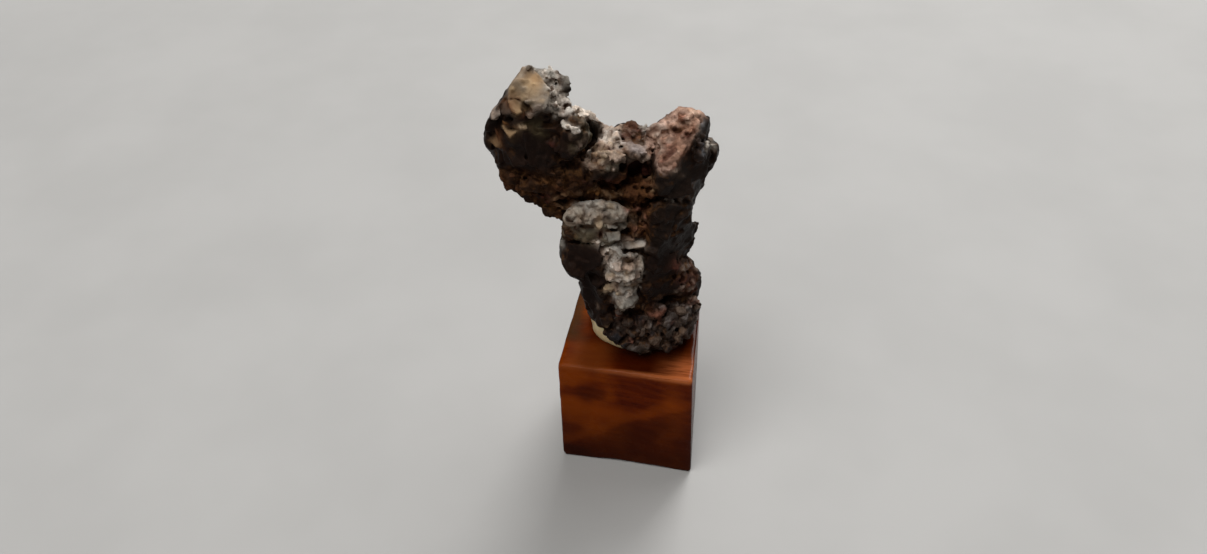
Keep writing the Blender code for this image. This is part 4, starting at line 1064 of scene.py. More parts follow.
def build_stone(h):
    f = Field((-27, -13.5, 24), (17.5, 13.5, 85.5), h)
    stone_shapes(f)
    fill_edges(f)
    scatter(f)
    f.outline(OUTLINE)
    front_features(f)
    # fine relief in a narrow band round the surface
    idx = np.nonzero(np.abs(f.F) < 1.6)
    P = f.P[idx]
    z = f.Z[idx]
    a = np.array([RELIEF[i] for i in range(NZ)], np.float32)[z]
    roll = fbm(P, 3.0, 3, 101)
    fac, gap, _ = facets(P, 1.7, 301)
    fac = fac * np.clip(gap * 3.5, 0, 1)
    grain = noise(P, 0.7, 401)
    d = a[:, 0] * roll + a[:, 1] * (fac * 1.3 - 0.3 * np.clip(0.25 - gap, 0, 1)) + a[:, 2] * grain
    d1, d2, _, _ = cells(P, 1.0, 611)
    d += a[:, 3] * (d1 - 0.45) * 1.6
    # small sharp faces where the crystal is pale and freshly broken
    cut, _, _ = facets(P, 0.85, 733)
    much = np.zeros(NZ, np.float32)
    much[[LGRAY, PINK, BALL, GBROWN]] = 0.30, 0.33, 0.16, 0.34
    d += much[z] * np.clip(cut, -0.26, 0.30)
    f.F[idx] += d.astype(np.float32)
    # seat and putty bed
    Z = (f.lo[2] + h * np.arange(f.n[2])).astype(np.float32)
    X = (f.lo[0] + h * np.arange(f.n[0])).astype(np.float32)
    Y = (f.lo[1] + h * np.arange(f.n[1])).astype(np.float32)
    f.F = np.maximum(f.F, (SEAT + 0.05 - Z)[None, None, :])
    r = np.sqrt((X[:, None] - PUTTY_C[0]) ** 2 + (Y[None, :] - PUTTY_C[1]) ** 2)
    bed = np.maximum((r - PUTTY_R - 0.5)[:, :, None], (Z - SEAT - PUTTY_T - 0.35)[None, None, :])
    f.F = np.maximum(f.F, -bed)
    V, Q = surface_net(f.F, f.lo, h)
    V, Q, _ = biggest_piece(V, Q)
    return f, V, Q


def cell_of(f, V):
    return tuple(np.clip(np.round((V - f.lo) / f.h).astype(int), 0, np.array(f.n) - 1).T)


# =====================================================================
# meshes
# =====================================================================
def mesh_object(name, V, faces, turn=0.0, smooth=True):
    me = bpy.data.meshes.new(name)
    V = np.asarray(V, np.float64) * MM
    if turn:
        c, s = math.cos(turn), math.sin(turn)
        V = V @ np.array([[c, s, 0], [-s, c, 0], [0, 0, 1]])
    faces = np.asarray(faces, np.int32)
    k = faces.shape[1]
    me.vertices.add(len(V))
    me.vertices.foreach_set("co", V.astype(np.float32).ravel())
    me.loops.add(faces.size)
    me.loops.foreach_set("vertex_index", faces.ravel())
    me.polygons.add(len(faces))
    me.polygons.foreach_set("loop_start", np.arange(0, faces.size, k, dtype=np.int32))
    me.polygons.foreach_set("loop_total", np.full(len(faces), k, np.int32))
    me.update(calc_edges=True)
    me.validate()
    if smooth:
        me.shade_smooth()
    ob = bpy.data.objects.new(name, me)
    bpy.context.scene.collection.objects.link(ob)
    return ob


def put_colour(ob, name, rgb):
    at = ob.data.attributes.new(name, 'FLOAT_COLOR', 'POINT')
    a = np.ones((len(rgb), 4), np.float32)
    a[:, :3] = rgb
    at.data.foreach_set("color", a.ravel())


def spread(Q, val, times):
    """Softens a value over the mesh by averaging along edges."""
    e = np.concatenate([np.stack([Q[:, i], Q[:, (i + 1) % Q.shape[1]]], 1) for i in range(Q.shape[1])])
    n = np.bincount(e.ravel(), minlength=len(val)).astype(np.float32)[:, None]
    for _ in range(times):
        acc = np.stack([np.bincount(e[:, 0], val[e[:, 1], k], len(val)) + np.bincount(e[:, 1], val[e[:, 0], k], len(val))
                        for k in range(val.shape[1])], 1)
        val = 0.4 * val + 0.6 * acc / n
    return val


def thinned(V, Q, limit):
    """The same surface with no more than this many triangles, flat parts thinned first."""
    tris = len(Q) * 2
    ob = mesh_object("full", V, Q)
    mod = ob.modifiers.new("thin", 'DECIMATE')
    mod.ratio = min(1.0, limit / tris)
    mod.use_collapse_triangulate = True
    me = bpy.data.meshes.new_from_object(ob.evaluated_get(bpy.context.evaluated_depsgraph_get()))
    co = np.empty(len(me.vertices) * 3, np.float32)
    me.vertices.foreach_get("co", co)
    me.calc_loop_triangles()
    tri = np.empty(len(me.loop_triangles) * 3, np.int32)
    me.loop_triangles.foreach_get("vertices", tri)
    old = ob.data
    bpy.data.objects.remove(ob)
    bpy.data.meshes.remove(old)
    bpy.data.meshes.remove(me)
    return co.reshape(-1, 3).astype(np.float64) / MM, tri.reshape(-1, 3)


STONE_H = 0.22
f, V, Q = build_stone(STONE_H)
V, Q = thinned(V, Q, 192000)
# what stands out furthest at the front and the back is drawn in a little, to the stone's overall depth
turn_s, turn_c = math.sin(TURN), math.cos(TURN)
deep = V[:, 0] * turn_s + V[:, 1] * turn_c
over = np.maximum(deep - 10.4, 0) * 0.60 - np.maximum(-deep - 11.0, 0) * 0.55
W = V.copy()
W[:, 0] -= over * turn_s
W[:, 1] -= over * turn_c
stone = mesh_object("stone_surface", W, Q, TURN)

# how deep in a hollow, how far out on an edge, and how level each point lies
G = np.stack(np.gradient(f.F, f.h), -1)
Nn = np.stack([sample(G[..., k], f.lo, f.h, V) for k in range(3)], 1)
Nn /= np.linalg.norm(Nn, axis=1, keepdims=True) + 1e-9
# shading follows the surface itself rather than its triangles
slope = Nn.copy()
c_, s__ = math.cos(TURN), math.sin(TURN)
slope = slope @ np.array([[c_, s__, 0], [-s__, c_, 0], [0, 0, 1]])
flat_n = np.empty(len(V) * 3, np.float32)
stone.data.vertex_normals.foreach_get("vector", flat_n)
flat_n = flat_n.reshape(-1, 3)
slope[(slope * flat_n).sum(1) < 0.5] = 0
crisp = np.array([0.25 if i in (DARK, SLATE, TAN) else 1.2 for i in range(NZ)])[f.Z[cell_of(f, V)]]
slope = slope + spread(Q, crisp[:, None], 3) * flat_n
stone.data.normals_split_custom_set_from_vertices((slope / (np.linalg.norm(slope, axis=1, keepdims=True) + 1e-9)).tolist())
hollow = np.zeros(len(V))
for s_ in (0.7, 1.6, 3.2, 5.0):
    hollow += np.clip(1 - sample(f.F, f.lo, f.h, V + Nn * s_) / s_, 0, 1) / 4
ridge = np.zeros(len(V))
for s_ in (0.5, 1.0):
    ridge += np.clip(1 + sample(f.F, f.lo, f.h, V - Nn * s_) / s_, 0, 1) / 2

# colours: the feature that each point lies on, read a little to one side so that borders are ragged
far = np.clip((V[:, 1:2] - 0.5) / 3.5, 0, 1)
shift = (np.stack([fbm(V, 0.9, 2, 501 + k) for k in range(3)], 1) * 0.45
         + far * np.stack([fbm(V, 2.6, 3, 521 + k) for k in range(3)], 1) * 3.2)
tint = np.array(list(PALETTE.values()), np.float32)[f.T[cell_of(f, V + shift)]]
tint = spread(Q, tint, 5)
put_colour(stone, "tint", tint)
# finish of each zone: roughness, coarse speckle, earthiness
FINISH = {DARK: (0.50, 0.25, 0.1), TAN: (0.52, 0.15, 0.0), LGRAY: (0.62, 0.55, 0.0), PINK: (0.68, 0.5, 0.1),
          BALL: (0.60, 0.4, 0.0), OCHRE: (0.88, 0.6, 1.0), CRUST: (0.50, 0.9, 0.3), RED: (0.60, 0.5, 0.4),
          GBROWN: (0.62, 0.6, 0.2), SLATE: (0.46, 0.35, 0.0)}
fin = np.array([FINISH[i] for i in range(NZ)], np.float32)[f.Z[cell_of(f, V + shift)]]
put_colour(stone, "finish", spread(Q, fin, 4))
# pale broken crystal takes less ochre earth and less painted hollow shade than the rest
EARTH_AND_SHADE_SHARE = {LGRAY: 0.32, PINK: 0.45, BALL: 0.35, TAN: 0.4, GBROWN: 0.75, OCHRE: 0.8}
earth_and_shade_share = np.array([EARTH_AND_SHADE_SHARE.get(i, 1.0) for i in range(NZ)], np.float32)[f.Z[cell_of(f, V)]]
earth_and_shade_share = spread(Q, earth_and_shade_share[:, None], 4)[:, 0]
# pale crystal counts as more level, so it takes less of the painted underside shade
LIFT = {LGRAY: 0.22, PINK: 0.14, BALL: 0.15}
lift = np.array([LIFT.get(i, 0.0) for i in range(NZ)], np.float32)[f.Z[cell_of(f, V)]]
lift = spread(Q, lift[:, None], 4)[:, 0]
# form: hollow depth, for ochre earth and painted hollow shade; edge; levelness, for painted underside shade
put_colour(stone, "form", np.stack([hollow * earth_and_shade_share, ridge, np.clip(Nn[:, 2] + lift, 0, 1)], 1))


# =====================================================================
# wood block and putty
# =====================================================================
def wood_shape():
    """The cube with its sawn faces a hair out of true, eased and bruised edges, and one chipped corner."""
    h = 0.38
    lo = np.array([-BLOCK[0] / 2 - 1, -BLOCK[1] / 2 - 1, -1.0])
    n = np.ceil((np.array([BLOCK[0], BLOCK[1], BLOCK[2]]) + 2) / h).astype(int) + 1
    ax = [lo[i] + h * np.arange(n[i]) for i in range(3)]
    P = np.stack(np.meshgrid(*ax, indexing='ij'), -1).astype(np.float32)
    half = np.array([BLOCK[0] / 2, BLOCK[1] / 2, BLOCK[2] / 2], np.float32)
    C = P - np.array([0, 0, BLOCK[2] / 2], np.float32)
    wob = 0.05 * noise(P, 9.0, 71) + 0.02 * noise(P, 2.5, 72)
    R = 0.38 + 0.22 * noise(P, 3.5, 73)
    q = np.abs(C) - half + R[..., None]
    d = np.sqrt((np.maximum(q, 0) ** 2).sum(-1)) + np.minimum(q.max(-1), 0) - R
    d = d + 0.06 + wob
    # chipped top corner at the front left, and a nick on the front right edge
    for c, r in (((-12.9, -11.7, 25.2), 1.0), ((-12.9, -11.8, 23.6), 0.5), ((12.9, -11.8, 15.6), 0.75),
                 ((12.8, -11.7, 1.2), 0.6), ((-12.9, -11.7, 0.4), 0.8), ((3.5, -11.9, 0.0), 0.5)):
        dd = np.sqrt(((P - np.array(c, np.float32)) ** 2).sum(-1)) - r - 0.25 * noise(P, 0.9, 75)
        d = np.maximum(d, -dd)
    d = np.maximum(d, 0.02 - P[..., 2])
    V, Q = surface_net(d.astype(np.float32), lo, h)
    V, Q, _ = biggest_piece(V, Q)
    right = np.clip(V[:, 0] / half[0], 0, 1)
    rear = np.clip((V[:, 1] + half[1]) / (2 * half[1]), 0, 1)
    down = np.clip(1 - V[:, 2] / BLOCK[2], 0, 1)
    V[:, 0] += right * (0.45 * down * (1 - rear) - 1.1 * rear)
    V[:, 1] -= 0.6 * right * (1 - rear)
    return mesh_object("wood_cube", V, Q)


def putty_shape():
    """A thumbed-down pat of putty, squeezed out a little all round the stone's foot."""
    bm = bmesh.new()
    steps, rings = 220, []
    prof = [(0.985, 0.0), (1.01, 0.06), (1.03, 0.16), (1.035, 0.28), (1.025, 0.42), (1.0, 0.56), (0.965, 0.70),
            (0.92, 0.82), (0.86, 0.91), (0.78, 0.96), (0.66, 0.985), (0.5, 1.0), (0.3, 1.0), (0.12, 1.0)]
    for fr, fz in prof:
        ring = []
        for i in range(steps):
            a = 2 * math.pi * i / steps
            wave = 0.35 * (math.sin(3 * a + 0.6) + 0.5 * math.sin(5 * a + 2.1))
            p = np.array([[math.cos(a) * 4, math.sin(a) * 4, fz * 2.0]])
            n1 = float(fbm(p, 1.1, 4, 81, 0.6)[0])
            dent = sum(dp * math.exp(-((math.atan2(math.sin(a - at), math.cos(a - at))) / wd) ** 2)
                       for at, wd, dp in ((1.1, 0.20, 0.55), (1.75, 0.16, 0.45), (2.6, 0.24, 0.60), (3.35, 0.14, 0.35),
                                          (0.35, 0.18, 0.40), (4.3, 0.15, 0.20), (5.6, 0.22, 0.40)))
            r = PUTTY_R * fr + wave * fr + 0.22 * n1 * (1 - 0.5 * fz) - dent * math.sin(math.pi * min(fz + 0.15, 1)) ** 2
            z = SEAT - 0.28 + (PUTTY_T + 0.2) * fz + 0.12 * n1 * min(fz * 3, 1) * (0 if fz > 0.9 else 1)
            ring.append(bm.verts.new((PUTTY_C[0] + r * math.cos(a), PUTTY_C[1] + r * math.sin(a), z)))
        rings.append(ring)
    for lo, hi in zip(rings, rings[1:]):
        for i in range(steps):
            j = (i + 1) % steps
            bm.faces.new((lo[i], lo[j], hi[j], hi[i]))
    bm.faces.new(list(reversed(rings[0])))
    bm.faces.new(rings[-1])
    c, s = math.cos(TURN), math.sin(TURN)
    for v in bm.verts:
        x, y, z = v.co
        v.co = (MM * (c * x - s * y), MM * (s * x + c * y), MM * z)
    me = bpy.data.meshes.new("putty_pat")
    bm.to_mesh(me)
    bm.free()
    me.shade_smooth()
    ob = bpy.data.objects.new("putty_pat", me)
    bpy.context.scene.collection.objects.link(ob)
    return ob


wood = wood_shape()
putty = putty_shape()


# =====================================================================
# materials
# =====================================================================
class Mat:
    """Small helper for building a node material."""
    def __init__(s, name):
        s.m = bpy.data.materials.new(name)
        s.m.use_nodes = True
        s.t = s.m.node_tree
        s.bsdf = s.t.nodes["Principled BSDF"]
        s.pos = s.node('ShaderNodeTexCoord').outputs['Object']

    def node(s, kind, **kw):
        n = s.t.nodes.new(kind)
        for k, v in kw.items():
            setattr(n, k, v)
        return n

    def put(s, sock, v):
        if isinstance(v, bpy.types.NodeSocket):
            s.t.links.new(v, sock)
        elif isinstance(v, (tuple, list)) and len(v) == 3 and sock.type == 'RGBA':
            sock.default_value = (*v, 1.0)
        else:
            sock.default_value = v

    def math(s, op, a, b=0.0, clamp=False):
        n = s.node('ShaderNodeMath', operation=op, use_clamp=clamp)
        s.put(n.inputs[0], a)
        s.put(n.inputs[1], b)
        return n.outputs[0]

    def mix(s, f, a, b, blend='MIX'):
        n = s.node('ShaderNodeMix', data_type='RGBA', blend_type=blend, clamp_factor=True)
        s.put(n.inputs[0], f)
        s.put(n.inputs[6], a)
        s.put(n.inputs[7], b)
        return n.outputs[2]

    def ramp(s, v, lo, hi, a=0.0, b=1.0):
        n = s.node('ShaderNodeMapRange', interpolation_type='SMOOTHSTEP')
        s.put(n.inputs['Value'], v)
        n.inputs['From Min'].default_value = lo
        n.inputs['From Max'].default_value = hi
        n.inputs['To Min'].default_value = a
        n.inputs['To Max'].default_value = b
        return n.outputs[0]

    def noise(s, mm, detail=3.0, rough=0.55, dist=0.0, vec=None, off=None):
        """Noise with features about mm across."""
        n = s.node('ShaderNodeTexNoise')
        n.inputs['Scale'].default_value = 1.0 / (mm * MM)
        n.inputs['Detail'].default_value = detail
        n.inputs['Roughness'].default_value = rough
        n.inputs['Distortion'].default_value = dist
        v = vec or s.pos
        if off:
            m = s.node('ShaderNodeVectorMath', operation='ADD')
            s.put(m.inputs[0], v)
            m.inputs[1].default_value = off
            v = m.outputs[0]
        s.put(n.inputs['Vector'], v)
        return n.outputs['Fac']

    def voronoi(s, mm, feature='F1', vec=None, rnd=1.0):
        n = s.node('ShaderNodeTexVoronoi', feature=feature)
        n.inputs['Scale'].default_value = 1.0 / (mm * MM)
        n.inputs['Randomness'].default_value = rnd
        s.put(n.inputs['Vector'], vec or s.pos)
        return n

    def attr(s, name):
        n = s.node('ShaderNodeAttribute', attribute_name=name)
        sp = s.node('ShaderNodeSeparateColor')
        s.put(sp.inputs[0], n.outputs['Color'])
        return sp.outputs

    def bump(s, height, dist, strength=1.0, normal=None):
        n = s.node('ShaderNodeBump')
        n.inputs['Strength'].default_value = strength
        n.inputs['Distance'].default_value = dist * MM
        s.put(n.inputs['Height'], height)
        if normal is not None:
            s.put(n.inputs['Normal'], normal)
        return n.outputs[0]


def stone_material():
    m = Mat("goethite_surface")
    at = m.node('ShaderNodeAttribute', attribute_name="tint")
    tint = at.outputs['Color']
    dull, speck, earth = m.attr("finish")[:3]
    hol, rid, level = m.attr("form")[:3]
    big = m.noise(5.0, 3)
    mid = m.noise(1.5, 4, off=(0.01, 0, 0))
    fine = m.noise(0.5, 4, 0.6, off=(0, 0.013, 0))
    tiny = m.noise(0.17, 3, 0.6, off=(0, 0, 0.017))

    bent = m.node('ShaderNodeVectorMath', operation='MULTIPLY_ADD')
    wob = m.node('ShaderNodeTexNoise')
    wob.inputs['Scale'].default_value = 1.0 / (0.9 * MM)
    m.put(wob.inputs['Vector'], m.pos)
    m.put(bent.inputs[0], wob.outputs['Color'])
    bent.inputs[1].default_value = (0.7 * MM, 0.7 * MM, 0.7 * MM)
    m.put(bent.inputs[2], m.pos)
    vf = m.voronoi(0.55, vec=bent.outputs[0])
    ve = m.voronoi(0.55, 'DISTANCE_TO_EDGE', vec=bent.outputs[0])
    # the same colour, darker and browner, and lighter
    low = m.mix(1.0, tint, (0.42, 0.34, 0.29), 'MULTIPLY')
    high = m.mix(1.0, tint, (1.45, 1.45, 1.45), 'MULTIPLY')
    warm = m.mix(1.0, tint, (1.12, 0.95, 0.80), 'MULTIPLY')
    c = m.mix(m.ramp(big, 0.4, 0.65, 0, 0.7), tint, warm)
    c = m.mix(m.math('MULTIPLY', m.ramp(mid, 0.50, 0.72), 0.55), c, low)
    c = m.mix(m.math('MULTIPLY', m.ramp(mid, 0.28, 0.46, 1, 0), 0.5), c, high)
    c = m.mix(m.math('MULTIPLY', m.ramp(fine, 0.54, 0.68), m.math('MULTIPLY', speck, 0.8)), c, low)
    c = m.mix(m.math('MULTIPLY', m.ramp(fine, 0.30, 0.44, 1, 0), m.math('MULTIPLY', speck, 0.8)), c, high)
    glint = m.math('MULTIPLY', m.ramp(tiny, 0.62, 0.70), m.math('MULTIPLY', speck, 0.35))
    c = m.mix(glint, c, (0.30, 0.27, 0.24))
    # rust and ochre earth, in patches, thicker in the hollows
    stain = m.noise(6.5, 4, 0.6, off=(0.04, 0.02, 0.0))
    where = m.math('ADD', m.math('MULTIPLY', hol, 0.55), m.math('ADD', stain, m.math('MULTIPLY', earth, 0.12)))
    amount = m.ramp(m.math('ADD', where, m.math('MULTIPLY', m.math('SUBTRACT', mid, 0.5), 0.35)), 0.62, 0.95, 0, 0.85)
    c = m.mix(m.math('MULTIPLY', amount, m.ramp(fine, 0.30, 0.60, 0.35, 1.0)), c,
              m.mix(m.ramp(mid, 0.42, 0.62), (0.060, 0.024, 0.010), (0.150, 0.068, 0.024)))

    # painted shade: undersides and steep faces are darkened and browned, so tops stay paler
    under = m.ramp(m.math('ADD', level, m.math('MULTIPLY', m.math('SUBTRACT', mid, 0.5), 0.5)), 0.05, 0.5, 1, 0)
    c = m.mix(m.math('MULTIPLY', under, 0.75), c, m.mix(1.0, c, (0.42, 0.33, 0.27), 'MULTIPLY'))

    # painted shade darkening the hollows, and rubbed edges
    h1 = m.ramp(hol, 0.34, 0.66)
    c = m.mix(m.math('MULTIPLY', h1, 0.80), c, m.mix(1.0, tint, (0.20, 0.13, 0.10), 'MULTIPLY'))
    edge = m.math('MULTIPLY', m.ramp(rid, 0.22, 0.55), m.ramp(fine, 0.35, 0.65))
    c = m.mix(m.math('MULTIPLY', edge, 0.30), c, m.mix(1.0, tint, (1.9, 1.85, 1.8), 'MULTIPLY'))
    # small crystals: each a little lighter or darker, dirt in the joints between them
    gritty = m.ramp(speck, 0.28, 0.48)
    shade = m.node('ShaderNodeSeparateColor')
    m.put(shade.inputs[0], vf.outputs['Color'])
    c = m.mix(m.math('MULTIPLY', m.ramp(shade.outputs[0], 0.60, 0.98), m.math('MULTIPLY', gritty, 0.48)), c,
              m.mix(1.0, c, (0.45, 0.40, 0.36), 'MULTIPLY'))
    c = m.mix(m.math('MULTIPLY', m.ramp(shade.outputs[1], 0.55, 0.90), m.math('MULTIPLY', gritty, 0.50)), c,
              m.mix(1.0, c, (1.65, 1.65, 1.65), 'MULTIPLY'))
    joint = m.math('MULTIPLY', m.ramp(ve.outputs['Distance'], 0.0, 0.18, 1, 0), m.ramp(mid, 0.44, 0.62))
    c = m.mix(m.math('MULTIPLY', joint, m.math('MULTIPLY', gritty, 0.30)), c,
              m.mix(1.0, c, (0.30, 0.24, 0.20), 'MULTIPLY'))
    m.put(m.bsdf.inputs['Base Color'], c)

    rough = m.math('ADD', m.math('MULTIPLY', m.math('SUBTRACT', fine, 0.5), 0.45), dull)
    rough = m.math('ADD', rough, m.math('MULTIPLY', h1, 0.2), clamp=True)
    m.put(m.bsdf.inputs['Roughness'], rough)
    m.bsdf.inputs['Specular IOR Level'].default_value = 0.06
    n1 = m.bump(fine, 0.14, 0.5)
    n2 = m.bump(tiny, 0.05, 0.55, n1)
    tilt = m.math('MULTIPLY', m.math('ADD', m.ramp(ve.outputs['Distance'], 0.0, 0.22), m.math('MULTIPLY', shade.outputs[2], 0.8)),
                  gritty)
    n3 = m.bump(tilt, 0.07, 0.5, n2)
    m.put(m.bsdf.inputs['Normal'], n3)
    return m.m


def wood_material():
    """Reddish hardwood, grain running across the front, under a worn orange-brown varnish."""
    m = Mat("varnished_wood_surface")
    sp = m.node('ShaderNodeSeparateXYZ')
    m.put(sp.inputs[0], m.pos)
    x, y, z = sp.outputs
    # the log's centre line lies low behind the block, so the rings curve over its end faces
    wav = m.noise(9.0, 3, 0.5, off=(0.02, 0.0, 0.0))
    slow = m.node('ShaderNodeMapping')
    m.put(slow.inputs['Vector'], m.pos)
    slow.inputs['Rotation'].default_value = (math.radians(3), math.radians(-7), math.radians(4))
    slow.inputs['Scale'].default_value = (0.10, 1.0, 1.0)
    g = slow.outputs[0]
    band = m.noise(2.6, 3, 0.55, 0.6, vec=g, off=(0.02, 0, 0))
    fib = m.noise(0.50, 4, 0.6, vec=g)
    pores = m.noise(0.16, 3, 0.6, vec=g, off=(0.01, 0.0, 0.0))
    # rings
    dy = m.math('ADD', y, -0.011)
    dz = m.math('ADD', z, 0.004)
    rad = m.math('SQRT', m.math('ADD', m.math('MULTIPLY', dy, dy), m.math('MULTIPLY', dz, dz)))
    rad = m.math('ADD', rad, m.math('MULTIPLY', wav, 0.0030))
    rad = m.math('ADD', rad, m.math('MULTIPLY', x, 0.06))
    ring = m.math('MULTIPLY', m.math('ADD', m.math('SINE', m.math('MULTIPLY', rad, 2 * math.pi / 0.0013)), 1.0), 0.5)
    glow_ = m.noise(11.0, 2, 0.5, off=(0.005, 0.012, 0.03))
    c = m.mix(m.ramp(band, 0.36, 0.64), (0.066, 0.0062, 0.0003), (0.108, 0.0135, 0.0005))
    c = m.mix(m.math('MULTIPLY', m.ramp(ring, 0.35, 0.95), 0.28), c, (0.150, 0.0230, 0.0008))
    c = m.mix(m.ramp(glow_, 0.42, 0.66, 0, 0.80), c, (0.250, 0.0460, 0.0016))
    c = m.mix(m.ramp(fib, 0.46, 0.66, 0, 0.30), c, (0.070, 0.0085, 0.0008))
    c = m.mix(m.ramp(pores, 0.58, 0.72, 0, 0.60), c, (0.016, 0.0030, 0.0006))
    # darker at the foot and the corners; a handling stain, an olive-brown smear on top at the left
    # the figure: a paler band rising to the right, darker wood below it, lit and smoky patches above
    def patch(px, pz, rx, rz):
        a_ = m.math('MULTIPLY', m.math('ADD', x, -px), 1 / rx)
        b_ = m.math('MULTIPLY', m.math('ADD', z, -pz), 1 / rz)
        d_ = m.math('SQRT', m.math('ADD', m.math('MULTIPLY', a_, a_), m.math('MULTIPLY', b_, b_)))
        return m.ramp(m.math('ADD', d_, m.math('MULTIPLY', m.math('SUBTRACT', wav, 0.5), 0.9)), 0.35, 1.25, 1, 0)
    rise = m.math('ADD', z, m.math('MULTIPLY', x, -0.60))
    rise = m.math('ADD', rise, m.math('MULTIPLY', m.math('SUBTRACT', wav, 0.5), 0.0045))
    for px, pz, rx, rz, w in ((-0.0108, 0.0140, 0.0035, 0.0042, 0.8), (-0.0045, 0.0135, 0.0060, 0.0030, 0.7),
                              (0.0094, 0.0172, 0.0040, 0.0042, 0.35), (-0.0100, 0.0225, 0.0050, 0.0022, 0.6)):
        c = m.mix(m.math('MULTIPLY', patch(px, pz, rx, rz), w), c, (0.225, 0.0400, 0.0010))
    c = m.mix(m.math('MULTIPLY', patch(-0.0068, 0.0186, 0.0036, 0.0022), 0.5), c, (0.045, 0.0060, 0.0004))
    under_ = m.math('MULTIPLY', m.ramp(rise, 0.0098, 0.0116, 1, 0), m.ramp(x, -0.010, 0.002, 0.2, 1.0))
    c = m.mix(m.math('MULTIPLY', under_, 0.50), c, (0.046, 0.0058, 0.0003))
    c = m.mix(m.math('MULTIPLY', patch(-0.0095, 0.0018, 0.0042, 0.0024), 0.6), c, (0.014, 0.0025, 0.0005))
    streak = m.math('MULTIPLY', m.ramp(rise, 0.0104, 0.0120), m.ramp(rise, 0.0124, 0.0146, 1, 0))
    c = m.mix(m.math('MULTIPLY', streak, m.ramp(x, 0.003, 0.010, 0.6, 0.15)), c, (0.205, 0.0370, 0.0012))
    # darker towards the bottom
    low = m.ramp(m.math('ADD', z, m.math('MULTIPLY', m.math('SUBTRACT', wav, 0.5), 0.014)), 0.001, 0.0180, 0.72, 0)
    c = m.mix(low, c, (0.022, 0.0034, 0.0006))
    top = m.ramp(z, 0.0243, 0.0249)
    # painted shadow and reflection of the stone: the top is darkened round the stone's foot
    near = m.node('ShaderNodeVectorMath', operation='DISTANCE')
    m.put(near.inputs[0], m.pos)
    near.inputs[1].default_value = (0.0048, -0.0015, 0.025)
    painted_stone_shadow = m.ramp(m.math('ADD', near.outputs['Value'], m.math('MULTIPLY', m.math('SUBTRACT', wav, 0.5), 0.004)), 0.0085, 0.0125, 0.72, 0)
    c = m.mix(m.math('MULTIPLY', painted_stone_shadow, top), c, (0.030, 0.0045, 0.0006))
    left = m.ramp(m.math('ADD', x, m.math('MULTIPLY', m.math('SUBTRACT', wav, 0.5), 0.010)), -0.0112, -0.0068, 1, 0)
    back = m.ramp(y, -0.0070, -0.0020)
    c = m.mix(m.math('MULTIPLY', m.math('MULTIPLY', top, left), m.math('MULTIPLY', back, 0.8)), c, (0.034, 0.021, 0.009))
    # painted highlight along the top's front edge, stronger towards the right
    edge = m.math('MULTIPLY', m.ramp(z, 0.0236, 0.0247), m.ramp(y, -0.0104, -0.0112, 0, 1))
    edge = m.math('MULTIPLY', edge, m.ramp(x, -0.010, 0.009, 0.25, 1.0))
    c = m.mix(m.math('MULTIPLY', edge, m.ramp(fib, 0.30, 0.55, 0.35, 0.8)), c, (0.42, 0.120, 0.036))
    glow2 = m.math('MULTIPLY', m.math('MULTIPLY', top, m.ramp(x, -0.0120, -0.0095)), m.math('MULTIPLY', m.ramp(x, -0.0055, -0.0010, 1, 0), m.ramp(y, -0.0010, -0.0060)))
    c = m.mix(m.math('MULTIPLY', glow2, 0.5), c, (0.210, 0.0520, 0.0100))
    lit = m.math('MULTIPLY', m.math('MULTIPLY', top, m.ramp(x, 0.0040, 0.0105)), m.ramp(y, -0.0035, -0.0095))
    c = m.mix(m.math('MULTIPLY', lit, m.ramp(fib, 0.30, 0.60, 0.3, 0.8)), c, (0.40, 0.110, 0.034))
    m.put(m.bsdf.inputs['Base Color'], c)
    r = m.math('ADD', m.math('MULTIPLY', m.noise(2.0, 4), 0.24), 0.14, clamp=True)
    m.put(m.bsdf.inputs['Roughness'], r)
    m.bsdf.inputs['Specular IOR Level'].default_value = 0.02
    m.bsdf.inputs['Coat Weight'].default_value = 0.07
    m.bsdf.inputs['Coat Roughness'].default_value = 0.12
    b1 = m.bump(m.noise(1.8, 3, vec=g), 0.10, 0.25)
    m.put(m.bsdf.inputs['Normal'], m.bump(fib, 0.04, 0.30, b1))
    return m.m


def putty_material():
    m = Mat("cream_putty_surface")
    a = m.noise(2.2, 4)
    b = m.noise(0.5, 4, 0.6, off=(0.01, 0, 0))
    c = m.mix(m.ramp(a, 0.35, 0.65), (0.55, 0.42, 0.22), (0.66, 0.54, 0.32))
    c = m.mix(m.ramp(b, 0.6, 0.78, 0, 0.5), c, (0.36, 0.24, 0.11))
    m.put(m.bsdf.inputs['Base Color'], c)
    m.put(m.bsdf.inputs['Roughness'], m.math('ADD', m.math('MULTIPLY', b, 0.25), 0.42))
    m.bsdf.inputs['Subsurface Weight'].default_value = 0.08
    m.bsdf.inputs['Subsurface Scale'].default_value = 0.001
    n1 = m.bump(m.noise(1.1, 3, 0.55, off=(0.02, 0.01, 0)), 0.22, 0.6)
    m.put(m.bsdf.inputs['Normal'], m.bump(b, 0.10, 0.5, n1))
    return m.m


def floor_material():
    m = Mat("floor_surface")
    a = m.noise(40, 3)
    m.put(m.bsdf.inputs['Base Color'], m.mix(m.ramp(a, 0.3, 0.7), (0.375, 0.372, 0.366), (0.40, 0.397, 0.391)))
    m.bsdf.inputs['Roughness'].default_value = 0.75
    return m.m


stone.data.materials.append(stone_material())
wood.data.materials.append(wood_material())
putty.data.materials.append(putty_material())

for ob, node, slot in ((stone, "goethite_pseudomorph", "goethite"), (putty, "mounting_putty", "putty"),
                       (wood, "wood_block", "varnished_wood")):
    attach(ob, "root")
    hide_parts(node)

# =====================================================================
# floor, light, camera
# =====================================================================
bm = bmesh.new()
bmesh.ops.create_grid(bm, x_segments=1, y_segments=1, size=8.0)
me = bpy.data.meshes.new("floor")
bm.to_mesh(me)
bm.free()
floor = bpy.data.objects.new("floor", me)
floor.location = (0, 0, -0.0001)
me.materials.append(floor_material())
bpy.context.scene.collection.objects.link(floor)


